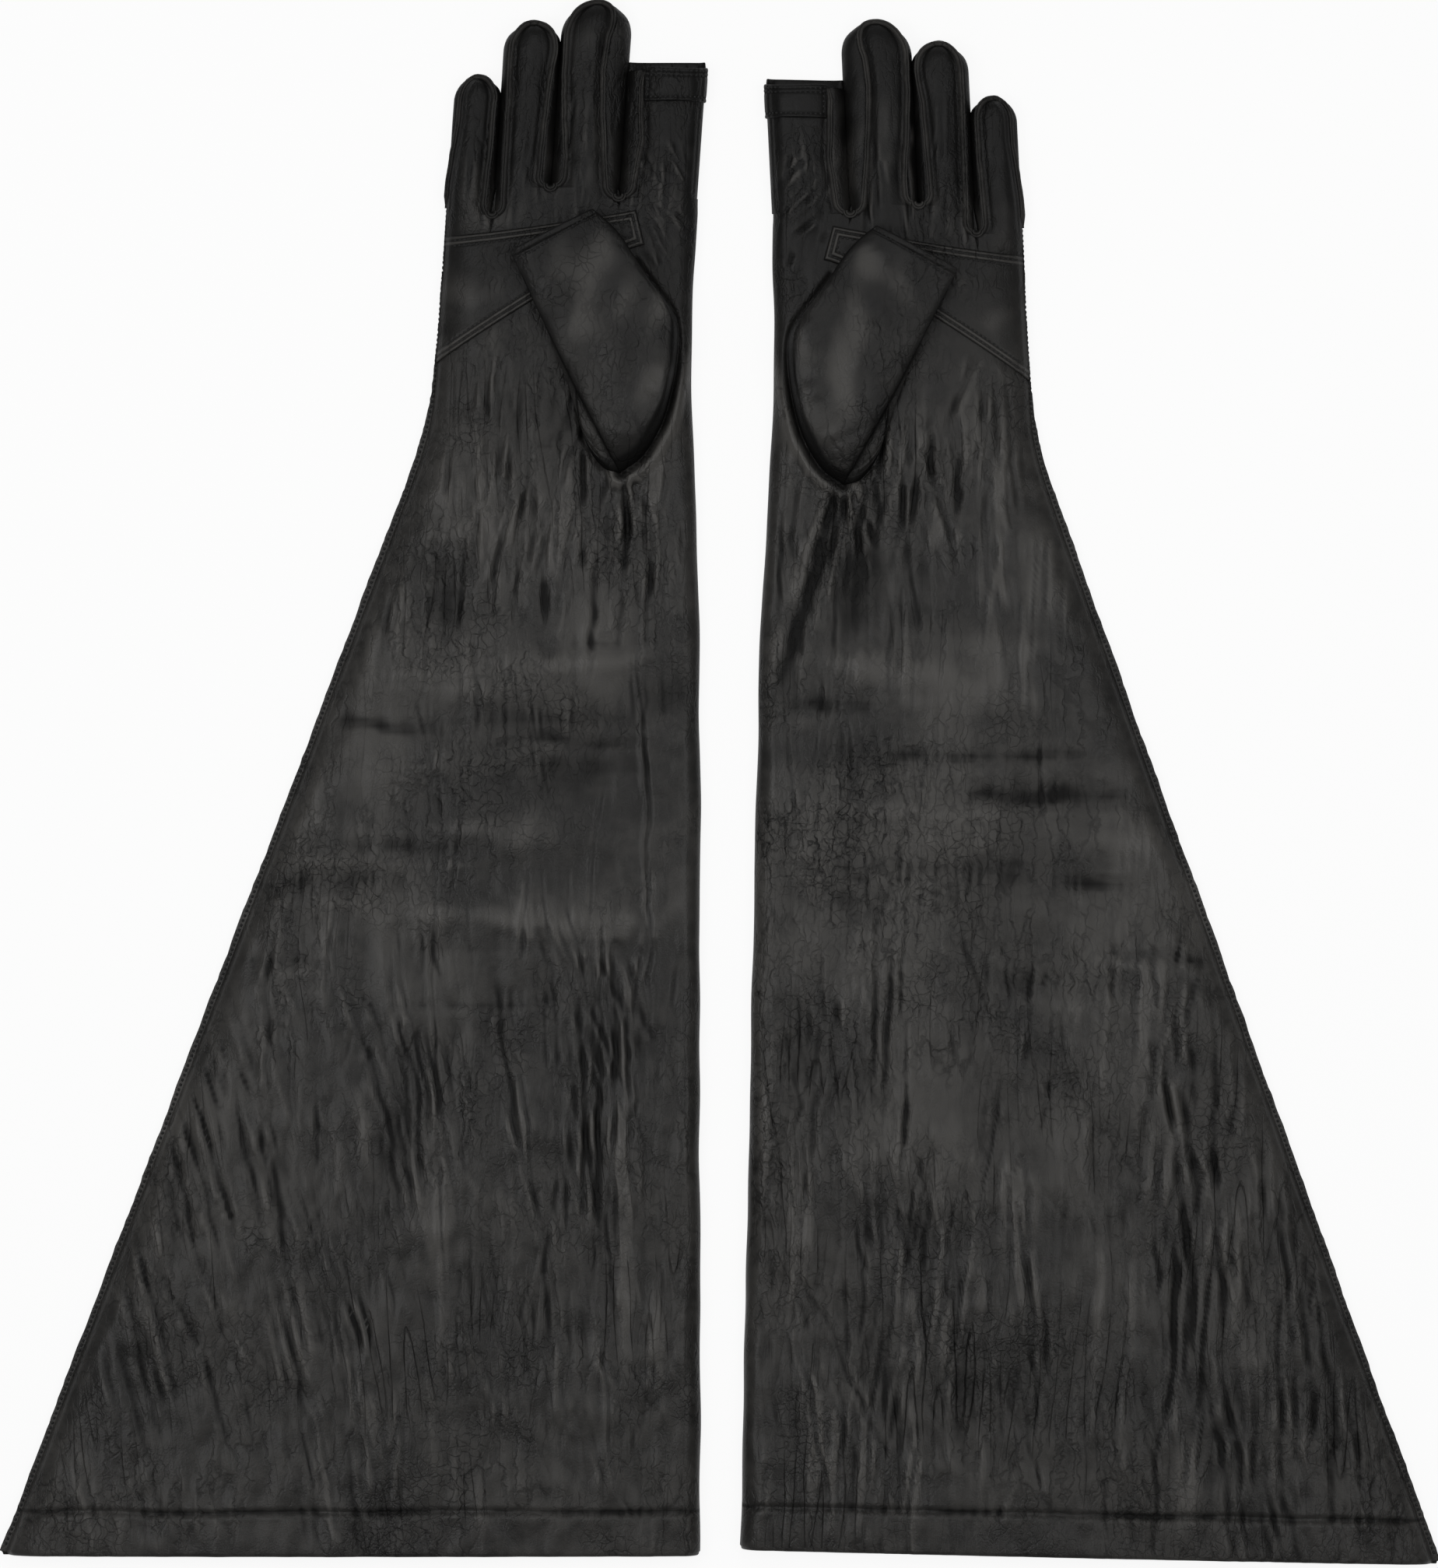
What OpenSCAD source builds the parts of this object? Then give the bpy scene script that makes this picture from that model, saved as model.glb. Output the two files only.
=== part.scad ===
// A pair of long leather gauntlet gloves, lying flat with the palms up.
// Glove coordinates: x runs from the inner fold to the side seam, y from the hem to the
// fingertips and z up from the table. Both gloves share every shape; one is the mirror image.

/* [Pair] */
// Space between the two gloves at the hem
pair_gap = 15.4; // [10:0.2:60]
// Turn of the left-hand glove, clockwise seen from above
left_turn = 1.26; // [0:0.1:3]
// How much further up the table the left-hand glove's hem corner lies
left_shift = 2.4; // [-10:0.2:10]
// Length of the left-hand glove as it lies, gathered by its wrinkles, against its full length
left_lay = 0.985; // [0.95:0.005:1]

/* [Gauntlet] */
// Hem to the bend of the wrist
gauntlet_l = 408; // [250:1:480]
// Width at the hem, seam included
hem_w = 271; // [200:1:320]
// Height of the gauntlet as it lies
gauntlet_h = 14; // [11:0.5:24]
// Height of the turned-in hem
hem_l = 15; // [8:1:30]
// How far above the wrist's bend the flare begins
flare_rise = 32; // [10:1:60]
// Length over which the flare bends into the palm's side
flare_blend = 10; // [4:1:20]

/* [Hand] */
// Wrist bend to the bend of the ring and middle fingers
palm_l = 119.5; // [105:0.5:140]
// Height of the hand and fingers as they lie
hand_h = 12; // [10:0.5:18]
// Widening of the palm for each millimetre towards the wrist
palm_taper = 0.07; // [0:0.01:0.12]
// Depth of the waist in the inner fold
waist_in = 3.4; // [0:0.2:8]
// Waist's middle above the wrist's bend
waist_rise = 47; // [20:1:70]

/* [Fingers] */
// Width of the index stall
index_w = 29.5; // [22:0.5:34]
// Width of the middle stall
middle_w = 25.2; // [20:0.2:30]
// Width of the ring stall
ring_w = 20.4; // [18:0.2:28]
// Width of the little stall
little_w = 17.4; // [15:0.2:24]
// Length of the cut-off index stall
index_l = 50.5; // [40:0.5:70]
// Length of the middle stall
middle_l = 72.5; // [55:0.5:90]
// Length of the ring stall
ring_l = 64.5; // [50:0.5:85]
// Length of the little stall
little_l = 54; // [42:0.5:70]
// How far the index finger bends below the middle one
index_drop = 4; // [1:0.5:10]
// How far the little finger bends below the ring finger
little_drop = 10.5; // [4:0.5:16]
// Space between neighbouring stalls
finger_gap = 1.4; // [1.2:0.1:3]
// Lean of the stalls towards the inner fold, in degrees
finger_lean = 4; // [0:0.5:5]
// Width of the band round the index opening
band_l = 13; // [6:0.5:20]

/* [Thumb] */
// Inner fold to the low end of the thumb's fold line
thumb_low_x = 31.6; // [26:0.2:36]
// Wrist bend to the low end of the thumb's fold line
thumb_low_y = 12.6; // [6:0.2:20]
// Inner fold to the high end of the thumb's fold line
thumb_high_x = 8.4; // [7:0.2:14]
// Wrist bend to the high end of the thumb's fold line
thumb_high_y = 68.7; // [60:0.2:80]
// Fold line to the middle of the thumb's open end
thumb_l = 57.5; // [40:0.5:62]
// Width of the thumb's open end
thumb_end_w = 36; // [28:0.5:42]
// Direction of the thumb's open edge, in degrees clockwise from across the palm
thumb_end_turn = 27.2; // [15:0.2:35]
// Shift of the open end along the fold line, towards the fingers
thumb_end_rise = 12.5; // [5:0.5:16]
// Swell of the thumb's free edge
thumb_swell = 3.5; // [0:0.1:6]
// Height of the flattened thumb
thumb_h = 9.5; // [8:0.5:14]
// Depth of the crescent gusset at the thumb's root
gusset_d = 8.6; // [4:0.2:9.4]
// Width of the thumb's turned-in hem
thumb_hem_l = 7; // [4:0.5:12]

/* [Palm patch] */
// Wrist bend to the patch's top edge at the side seam
patch_top = 100.8; // [92:0.2:104]
// Wrist bend to the patch's bottom edge at the side seam
patch_bottom = 52; // [40:0.5:70]
// Wrist bend to the top of the patch's strap end
strap_top = 112.5; // [108:0.5:113]
// Width of the patch's strap end
strap_w = 13.4; // [8:0.2:18]
// Inner fold to the strap end
strap_x = 23.5; // [20:0.5:30]

/* [Leather and thread] */
// Thickness of the leather
leather_t = 0.9; // [0.6:0.1:1.3]
// Clearance between two plies that lie on each other
ply_gap = 0.25; // [0.15:0.05:0.4]
// Clearance between two parts that move apart
move_gap = 0.3; // [0.2:0.05:0.6]
// Raw edge to the side seam
seam_lip = 2.6; // [1.5:0.1:4]
// Height of the side seam above the table
seam_z = 2.2; // [1.5:0.1:4]
// Width of a row of stitches
thread_w = 0.7; // [0.4:0.1:1.2]
// Height of a row of stitches
thread_h = 0.4; // [0.2:0.05:0.8]
// Clearance under a row of stitches
thread_gap = 0.12; // [0.05:0.01:0.3]

/* [Hidden] */
PARTS = ["gauntlet", "cuff_hem", "gauntlet_seam_thread", "hand_trank", "hand_seam_thread",
    "palm_patch", "patch_thread", "thumb_gusset", "little_ring_crotch", "ring_middle_crotch",
    "middle_index_crotch", "thumb_stall", "thumb_hem", "thumb_thread", "index_stall",
    "index_fourchette", "index_band", "index_band_thread", "middle_palm_panel",
    "middle_back_panel", "middle_inner_fourchette", "middle_outer_fourchette",
    "ring_palm_panel", "ring_back_panel", "ring_inner_fourchette", "ring_outer_fourchette",
    "little_palm_panel", "little_back_panel", "little_fourchette"];

leather = [0.17, 0.165, 0.16];
leather_light = [0.22, 0.215, 0.21];
thread_colour = [0.09, 0.09, 0.09];

// Heights on the gloves
fold_z = 3.2;
fold_r = 3.2;
rise_seam = 16;
rise_fold = 7;
shoulder = 0.78;
seam_lift = 6;
finger_edge_z = 9;
back_edge_z = 1.5;
thumb_z = hand_h + ply_gap + leather_t + 2 * (thread_gap + thread_h) + move_gap;
thumb_top = thumb_z + thumb_h;

// Places along the glove
knuckle_y = gauntlet_l + palm_l;
index_y = knuckle_y - index_drop;
little_y = knuckle_y - little_drop;
flare_y = gauntlet_l + flare_rise;
waist_y = gauntlet_l + waist_rise;
waist_spread = 60;

// Places across the knuckles
fold_x = 0.8;
index_x = fold_x + index_w / 2;
middle_x = fold_x + index_w + finger_gap + middle_w / 2;
ring_x = middle_x + middle_w / 2 + finger_gap + ring_w / 2;
little_x = ring_x + ring_w / 2 + finger_gap + little_w / 2;
palm_w = little_x + little_w / 2;
flare = (hem_w - palm_w - palm_taper * knuckle_y) / flare_y;
lean = tan(finger_lean);

// ---- Small helpers ----
function lerp(a, b, t) = a + (b - a) * t;
function clamp01(x) = min(1, max(0, x));
function smooth(x) = clamp01(x) * clamp01(x) * (3 - 2 * clamp01(x));
function quarter(x) = sqrt(1 - pow(1 - clamp01(x), 2));
function unit(p) = p / norm(p);
// A ramp from zero with its corner rounded over a length of about w
function soft_ramp(x, w) = x > 20 * w ? x : w * ln(1 + exp(x / w));
// A glove point with its length gathered as the glove lies
function lay(p) = [p.x, p.y * $lay, p.z];
function lay_grid(grid) = [for (row = grid) [for (p = row) lay(p)]];

// A sheet or, when closed, a tube between an outer and an inner grid of points
module shell(outer, inner, closed = false) {
    rows = len(outer);
    cols = len(outer[0]);
    last = closed ? cols : cols - 1;
    half = rows * cols;
    points = [for (row = outer) for (p = row) p, for (row = inner) for (p = row) p];
    a = function(i, j) j * cols + i % cols;
    b = function(i, j) half + j * cols + i % cols;
    skin = [for (j = [0:rows - 2]) for (i = [0:last - 1]) each [
        [a(i, j), a(i + 1, j), a(i + 1, j + 1)],
        [a(i, j), a(i + 1, j + 1), a(i, j + 1)],
        [b(i, j), b(i + 1, j + 1), b(i + 1, j)],
        [b(i, j), b(i, j + 1), b(i + 1, j + 1)]]];
    top = rows - 1;
    ends = [for (i = [0:last - 1]) each [
        [a(i, 0), b(i, 0), b(i + 1, 0)],
        [a(i, 0), b(i + 1, 0), a(i + 1, 0)],
        [a(i, top), b(i + 1, top), b(i, top)],
        [a(i, top), a(i + 1, top), b(i + 1, top)]]];
    side = cols - 1;
    sides = closed ? [] : [for (j = [0:rows - 2]) each [
        [a(0, j), a(0, j + 1), b(0, j + 1)],
        [a(0, j), b(0, j + 1), b(0, j)],
        [a(side, j), b(side, j + 1), a(side, j + 1)],
        [a(side, j), b(side, j), b(side, j + 1)]]];
    polyhedron(points, concat(skin, ends, sides));
}

// ---- The trank: one flattened tube from the hem to the knuckles ----
function outer_x(y) =
    palm_w + palm_taper * (knuckle_y - y) + flare * soft_ramp(flare_y - y, flare_blend);
function inner_x(y) = waist_in * exp(-pow((y - waist_y) / waist_spread, 2));
function tube_w(y) = outer_x(y) - seam_lip - inner_x(y);
function crown(y) = lerp(gauntlet_h, hand_h, clamp01(y / gauntlet_l));

// Height of the palm side at a distance e from the seam, on a tube of width w and height h
function palm_z(e, w, h) =
    let (base = shoulder * h)
    let (from_seam = seam_z + leather_t + (base - seam_z - leather_t) * quarter(e / rise_seam))
    let (from_fold = fold_z + (base - fold_z) * quarter((w - e) / rise_fold))
    min(from_seam, from_fold) + (h - base) * 4 * (e / w) * (1 - e / w);
function back_z(e, w) =
    let (from_seam = (seam_z - leather_t) * pow(1 - clamp01(e / seam_lift), 2))
    let (from_fold = fold_z * (1 - quarter((w - e) / fold_r)))
    max(from_seam, from_fold);

// Section points [x, z] round the tube: lip, palm side, fold, back, lip
function section(fs, y) =
    let (w = tube_w(y), x0 = outer_x(y) - seam_lip, h = crown(y), n = len(fs))
    concat([[x0 + seam_lip, seam_z + leather_t]],
        [for (f = fs) [x0 - f * w, palm_z(f * w, w, h)]],
        [for (k = [n - 2:-1:0]) [x0 - fs[k] * w, back_z(fs[k] * w, w)]],
        [[x0 + seam_lip, seam_z - leather_t]]);
// The same points moved inwards by a depth, for a closed ring of points
function inset(ring, depth) =
    let (n = len(ring))
    [for (i = [0:n - 1])
        let (t = unit(ring[(i + 1) % n] - ring[(i + n - 1) % n]))
        ring[i] + depth * [-t.y, t.x]];
// An open line of points moved inwards by a depth
function inset_line(line, depth) =
    let (n = len(line))
    [for (i = [0:n - 1])
        let (t = unit(line[min(i + 1, n - 1)] - line[max(i - 1, 0)]))
        line[i] + depth * [-t.y, t.x]];
// Inside of the tube: the plies meet at the seam
function lining(fs, y) =
    let (ring = inset(section(fs, y), leather_t), n = len(ring), x0 = outer_x(y) - seam_lip)
    [for (i = [0:n - 1])
        i == 0 ? [x0 - 0.3, seam_z + 0.05] :
        i == 1 ? [x0 - 0.9, seam_z + 0.2] :
        i == n - 2 ? [x0 - 0.9, seam_z - 0.2] :
        i == n - 1 ? [x0 - 0.3, seam_z - 0.05] : ring[i]];

// Shares of the tube's width at which its points lie, close together at both edges
gauntlet_steps = 11;
gauntlet_fs = [for (k = [0:gauntlet_steps]) (1 - cos(180 * k / gauntlet_steps)) / 2];
little_f = (little_w + finger_gap / 2 - seam_lip) / (palm_w - seam_lip);
index_f = 1 - (index_w + finger_gap / 2) / (palm_w - seam_lip);
crotch_f = 0.006;
window_f = [0.75, 0.86];
hand_fs = [0, 0.016, 0.05, 0.1, little_f - crotch_f, little_f + crotch_f, 0.3, 0.42, 0.55,
    index_f - crotch_f, index_f + crotch_f, window_f[0], window_f[1], 0.94, 0.98, 1];

// Surface point of the palm side, lifted off the leather by a height
function palm_point(e, y, lift) =
    let (w = tube_w(y), h = crown(y), x0 = outer_x(y) - seam_lip, d = 0.4)
    let (t = unit([-2 * d, palm_z(e + d, w, h) - palm_z(e - d, w, h)]))
    [x0 - e + lift * t.y, y, palm_z(e, w, h) - lift * t.x];

gauntlet_rows = 8;
module gauntlet() {
    ys = [for (j = [0:gauntlet_rows]) (gauntlet_l - move_gap / 2) * pow(j / gauntlet_rows, 0.8)];
    color(leather) shell(
        lay_grid([for (y = ys) [for (p = section(gauntlet_fs, y)) [p.x, y, p.y]]]),
        lay_grid([for (y = ys) [for (p = lining(gauntlet_fs, y)) [p.x, y, p.y]]]), true);
}

// The turned-in allowance, from beside the seam round the fold and back
module cuff_hem() {
    ys = [0, hem_l];
    skip = 2;
    depth = leather_t + ply_gap;
    color(leather_light) shell(
        lay_grid([for (y = ys) let (ring = inset(section(gauntlet_fs, y), depth))
            [for (i = [skip:len(ring) - 1 - skip]) [ring[i].x, y, ring[i].y]]]),
        lay_grid([for (y = ys) let (ring = inset(section(gauntlet_fs, y), depth + leather_t))
            [for (i = [skip:len(ring) - 1 - skip]) [ring[i].x, y, ring[i].y]]]));
}

// A row of stitches on the seam's lip, seen on both sides of the glove
module seam_thread(y0, y1, rows) {
    ys = [for (j = [0:rows]) lerp(y0, y1, j / rows)];
    for (face = [1, -1]) {
        z = seam_z + face * (leather_t + thread_gap);
        strip = function(lift) lay_grid([for (y = ys) let (x = outer_x(y) - seam_lip + thread_w)
            [for (side = [face, -face]) [x + side * thread_w / 2, y, z + face * lift]]]);
        color(thread_colour) shell(strip(thread_h), strip(0));
    }
}
module gauntlet_seam_thread() seam_thread(2, gauntlet_l - 1, gauntlet_rows);
module hand_seam_thread() seam_thread(gauntlet_l + 1, little_y - 2, 6);

// ---- The hand ----
hand_rows = 8;
window_rows = [2, 4];
function hand_end(f) = (f < little_f ? little_y : f < index_f ? knuckle_y : index_y) - move_gap;
function hand_y(f, j) = lerp(gauntlet_l + move_gap / 2, hand_end(f), j / hand_rows);
function hand_ring(j, inside) =
    let (n = len(hand_fs), count = 2 * n + 1)
    [for (i = [0:count - 1])
        let (k = i == 0 || i == count - 1 ? 0 : i <= n ? i - 1 : 2 * n - 1 - i)
        let (y = hand_y(hand_fs[k], j))
        let (p = inside ? lining(hand_fs, y)[i] : section(hand_fs, y)[i])
        [p.x, y, p.y]];

// The hand's tube, with steps at the knuckles and a window for the thumb
module hand_trank() {
    outer = lay_grid([for (j = [0:hand_rows]) hand_ring(j, false)]);
    inner = lay_grid([for (j = [0:hand_rows]) hand_ring(j, true)]);
    cols = len(outer[0]);
    half = cols * (hand_rows + 1);
    i0 = 1 + search(window_f[0], hand_fs)[0];
    i1 = i0 + 1;
    open = function(i, j) i == i0 && j >= window_rows[0] && j < window_rows[1];
    a = function(i, j) j * cols + i % cols;
    b = function(i, j) half + j * cols + i % cols;
    skin = [for (j = [0:hand_rows - 1]) for (i = [0:cols - 1]) if (!open(i, j)) each [
        [a(i, j), a(i + 1, j), a(i + 1, j + 1)],
        [a(i, j), a(i + 1, j + 1), a(i, j + 1)],
        [b(i, j), b(i + 1, j + 1), b(i + 1, j)],
        [b(i, j), b(i, j + 1), b(i + 1, j + 1)]]];
    ends = [for (i = [0:cols - 1]) each [
        [a(i, 0), b(i, 0), b(i + 1, 0)],
        [a(i, 0), b(i + 1, 0), a(i + 1, 0)],
        [a(i, hand_rows), b(i + 1, hand_rows), b(i, hand_rows)],
        [a(i, hand_rows), a(i + 1, hand_rows), b(i + 1, hand_rows)]]];
    jambs = [for (j = [window_rows[0]:window_rows[1] - 1]) each [
        [a(i0, j), b(i0, j + 1), a(i0, j + 1)],
        [a(i0, j), b(i0, j), b(i0, j + 1)],
        [a(i1, j), a(i1, j + 1), b(i1, j + 1)],
        [a(i1, j), b(i1, j + 1), b(i1, j)]]];
    j0 = window_rows[0];
    j1 = window_rows[1];
    sills = [
        [a(i0, j0), b(i1, j0), b(i0, j0)],
        [a(i0, j0), a(i1, j0), b(i1, j0)],
        [a(i0, j1), b(i0, j1), b(i1, j1)],
        [a(i0, j1), b(i1, j1), a(i1, j1)]];
    points = [for (row = outer) for (p = row) p, for (row = inner) for (p = row) p];
    color(leather) polyhedron(points, concat(skin, ends, jambs, sills));
}

// ---- The palm patch: a band across the palm that ends in a strap ----
patch_seam_gap = 3;
patch_fs = [0, 0.025, 0.06, 0.12, 0.2, 0.32, 0.5, 0.75, 1];
patch_slant = 3.3;
patch_low_bow = 1.25;
patch_high_bow = 1.3;
patch_reach = tube_w(gauntlet_l + patch_top) - strap_x + inner_x(knuckle_y);
function patch_e(f, share) = lerp(patch_seam_gap, patch_reach + patch_slant * (0.5 - share), f);
function patch_low(f) =
    gauntlet_l + lerp(patch_bottom, strap_top - strap_w, 1 - pow(1 - f, patch_low_bow));
function patch_high(f) = gauntlet_l + lerp(patch_top, strap_top, pow(f, patch_high_bow));
function patch_point(f, share, lift) =
    palm_point(patch_e(f, share), lerp(patch_low(f), patch_high(f), share), lift);
module palm_patch() {
    rows = 4;
    sheet = function(lift)
        lay_grid([for (j = [0:rows]) [for (f = patch_fs) patch_point(f, j / rows, lift)]]);
    color(leather_light) shell(sheet(ply_gap + leather_t), sheet(ply_gap));
}

// Two rows of stitches along each long edge and across the strap's end
function patch_row_point(f, inset_y, from_top, lift) =
    let (lo = patch_low(f), hi = patch_high(f))
    let (y = from_top ? hi - inset_y : lo + inset_y)
    palm_point(patch_e(f, (y - lo) / (hi - lo)), y, lift);
low_rows = [1.8, 3.6];
high_rows = [1.3, 3];
strap_rows = [1.2, 3];
row_end = 0.97;
module patch_thread() {
    base = ply_gap + leather_t + thread_gap;
    for (from_top = [false, true]) for (row = from_top ? high_rows : low_rows) {
        strip = function(lift) lay_grid([for (d = [-thread_w / 2, thread_w / 2])
            [for (f = patch_fs)
                patch_row_point(min(f, row_end), row + (from_top ? -d : d), from_top, lift)]]);
        color(thread_colour) shell(strip(base + thread_h), strip(base));
    }
    for (row = strap_rows) {
        strip = function(lift) lay_grid([for (share = [0.36, 0.5, 0.64])
            [for (d = [-thread_w / 2, thread_w / 2])
                let (p = patch_point(1, share, lift))
                [p.x + row - d, p.y, p.z]]]);
        color(thread_colour) shell(strip(base + thread_h), strip(base));
    }
}

// ---- Fingers ----
// Centre of a stall at a height y on the glove
function stall_x(x, y) = x - lean * (y - knuckle_y);
// Share of the way into the rounded tip
tip_round = 0.55;
function tip_start(w, l) = l - tip_round * w;
function tip_share(d, w, l) = clamp01((d - tip_start(w, l)) / (tip_round * w));
function half_w(d, w, l) = max(1.2, w / 2 * sqrt(1 - pow(tip_share(d, w, l) * 0.995, 2)));
function stall_crown(d, w, l) =
    lerp(hand_h, back_edge_z + 2 * leather_t + 2 * ply_gap, pow(tip_share(d, w, l), 2));
function stall_edge(d, w, l) =
    lerp(finger_edge_z, back_edge_z + 2 * leather_t + ply_gap, pow(tip_share(d, w, l), 2));
// Lengthwise stations of a closed stall, close together at its tip
tip_shares = [0.3, 0.55, 0.75, 0.9, 1];
function stations(w, l) =
    concat([move_gap], [for (k = [1:3]) tip_start(w, l) * k / 3],
        [for (s = tip_shares) lerp(tip_start(w, l), l, s)]);
across = [1, 0.94, 0.75, 0.4, 0, -0.4, -0.75, -1];
// Palm side of a stall; on the little finger its outer side comes down to the side seam
function palm_line(d, w, l, to_seam) =
    let (edge = stall_edge(d, w, l), top = stall_crown(d, w, l))
    let (seam = min(edge, back_edge_z + 2 * leather_t + ply_gap))
    [for (q = across) [q * half_w(d, w, l), to_seam && q > 0
        ? seam + (top - seam) * sqrt(1 - q * q)
        : edge + (top - edge) * (1 - q * q)]];
module palm_panel(x, y0, w, l, to_seam = false) {
    grid = function(depth) lay_grid([for (d = stations(w, l))
        [for (p = inset_line(palm_line(d, w, l, to_seam), depth))
            [stall_x(x, y0 + d) + p.x, y0 + d, p.y]]]);
    color(leather) shell(grid(0), grid(leather_t));
}

module back_panel(x, y0, w, l) {
    grid = function(lift) lay_grid([for (d = stations(w, l)) [for (k = [len(across) - 1:-1:0])
        let (q = across[k], tip = pow(tip_share(d, w, l), 2), px = stall_x(x, y0 + d) + q * half_w(d, w, l))
        [px, y0 + d, back_edge_z * max(pow(q, 4), tip) + lift]]]);
    color(leather) shell(grid(0), grid(leather_t));
}

// Side wall of a stall; side is 1 towards the side seam and -1 towards the inner fold
module fourchette(x, y0, w, l, side) {
    start = tip_start(w, l);
    ds = concat([move_gap], [for (k = [1:3]) start * k / 3], [lerp(start, l, 0.45), lerp(start, l, 0.85)]);
    wall = function(inside) lay_grid([for (d = ds)
        let (low = back_edge_z + leather_t + ply_gap)
        let (high = stall_edge(d, w, l) - leather_t - ply_gap)
        let (px = stall_x(x, y0 + d) + side * (half_w(d, w, l) - inside))
        [for (z = side > 0 ? [low, high] : [high, low]) [px, y0 + d, z]]]);
    color(leather_light) shell(wall(0), wall(leather_t));
}

module middle_palm_panel() palm_panel(middle_x, knuckle_y, middle_w, middle_l);
module middle_back_panel() back_panel(middle_x, knuckle_y, middle_w, middle_l);
module middle_inner_fourchette() fourchette(middle_x, knuckle_y, middle_w, middle_l, -1);
module middle_outer_fourchette() fourchette(middle_x, knuckle_y, middle_w, middle_l, 1);
module ring_palm_panel() palm_panel(ring_x, knuckle_y, ring_w, ring_l);
module ring_back_panel() back_panel(ring_x, knuckle_y, ring_w, ring_l);
module ring_inner_fourchette() fourchette(ring_x, knuckle_y, ring_w, ring_l, -1);
module ring_outer_fourchette() fourchette(ring_x, knuckle_y, ring_w, ring_l, 1);
module little_palm_panel() palm_panel(little_x, little_y, little_w, little_l, true);
module little_back_panel() back_panel(little_x, little_y, little_w, little_l);
module little_fourchette() fourchette(little_x, little_y, little_w, little_l, -1);

// The open index stall: palm side, inner fold and back in one piece
index_lift = leather_t + ply_gap + 0.1;
index_level = 14;
index_stations = [move_gap, index_level, 0.53 * index_l, index_l - band_l - 1, index_l];
// The stall rises towards its opening, because the band goes under it too
function index_rise(d) = index_lift * smooth((d - index_level) / (index_l - band_l - 2 - index_level));
function index_ring(d) =
    let (w = index_w, lift = index_rise(d))
    let (top = [for (q = [1, 0.75, 0.4, 0, -0.4, -0.75])
        [q * w / 2, finger_edge_z + (hand_h - finger_edge_z) * (1 - q * q)]])
    let (fold = [for (a = [35, 0, -35, -65])
        [-w / 2 + 4 * (1 - cos(a)), lerp(1.2, 8.2, 0.5 + sin(a) / 2) + lift]])
    let (low = [for (q = [-0.6, 0, 0.6, 1]) [q * w / 2, (q == 1 ? back_edge_z : 0) + lift]])
    concat(top, fold, low);
function index_grid(ds, depth) =
    lay_grid([for (d = ds) [for (p = inset_line(index_ring(d), depth))
        [stall_x(index_x, index_y + d) + p.x, index_y + d, p.y]]]);
module index_stall()
    color(leather) shell(index_grid(index_stations, 0), index_grid(index_stations, leather_t));
module index_fourchette() {
    wall = function(inside) lay_grid([for (d = index_stations)
        let (px = stall_x(index_x, index_y + d) + index_w / 2 - inside)
        [[px, index_y + d, back_edge_z + leather_t + ply_gap + index_rise(d)],
         [px, index_y + d, finger_edge_z - leather_t - 2 * ply_gap]]]);
    color(leather_light) shell(wall(0), wall(leather_t));
}
module index_band() {
    ds = [index_l - band_l, index_l];
    color(leather_light) shell(index_grid(ds, -ply_gap - leather_t), index_grid(ds, -ply_gap));
}
// Two rows at the band's top edge and one at its bottom edge, on the palm side and the back
module index_band_thread() {
    base = ply_gap + leather_t + thread_gap;
    count = 10;
    for (row = [1.5, 3.2, band_l - 1.5]) {
        ds = [index_l - row - thread_w / 2, index_l - row + thread_w / 2];
        strip = function(lift) [for (line = index_grid(ds, -lift)) [for (i = [0:count - 1]) line[i]]];
        color(thread_colour) shell(strip(base + thread_h), strip(base));
    }
}

// ---- Crotches: the hand's end of each folded fourchette ----
crotch_low = leather_t + 2 * ply_gap;
crotch_high = shoulder * hand_h - leather_t;
crotch_end = move_gap + 0.2;
crotch_dip = 2.4;
// The leather is skived thin where it folds between two stalls
skived_t = 0.3 * finger_gap;
// One line down the side of a stall, round the crotch and up to the other stall's root
function crotch_line(x, y_left, y_right, y_low, inside) =
    let (side = finger_gap / 2 - inside, low = y_low + 1.5 * inside, turn = y_low + 1 + inside)
    [[stall_x(x, y_left) - side, y_left - crotch_end],
        [stall_x(x, turn) - side, turn],
        [stall_x(x, low), low],
        [stall_x(x, turn) + side, turn],
        [stall_x(x, y_right) + side, y_right - crotch_end]];
module crotch(x, y_left, y_right, y_low) {
    inner = crotch_line(x, y_left, y_right, y_low, skived_t);
    outline = concat(crotch_line(x, y_left, y_right, y_low, 0), [for (k = [len(inner) - 1:-1:0]) inner[k]]);
    color(leather_light) translate([0, 0, crotch_low]) linear_extrude(crotch_high - crotch_low)
        polygon([for (p = outline) [p.x, p.y * $lay]]);
}
module little_ring_crotch()
    crotch(ring_x + ring_w / 2 + finger_gap / 2, knuckle_y, little_y, little_y - crotch_dip);
module ring_middle_crotch()
    crotch(middle_x + middle_w / 2 + finger_gap / 2, knuckle_y, knuckle_y, knuckle_y - crotch_dip);
module middle_index_crotch()
    crotch(fold_x + index_w + finger_gap / 2, index_y, knuckle_y, index_y - crotch_dip);

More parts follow.
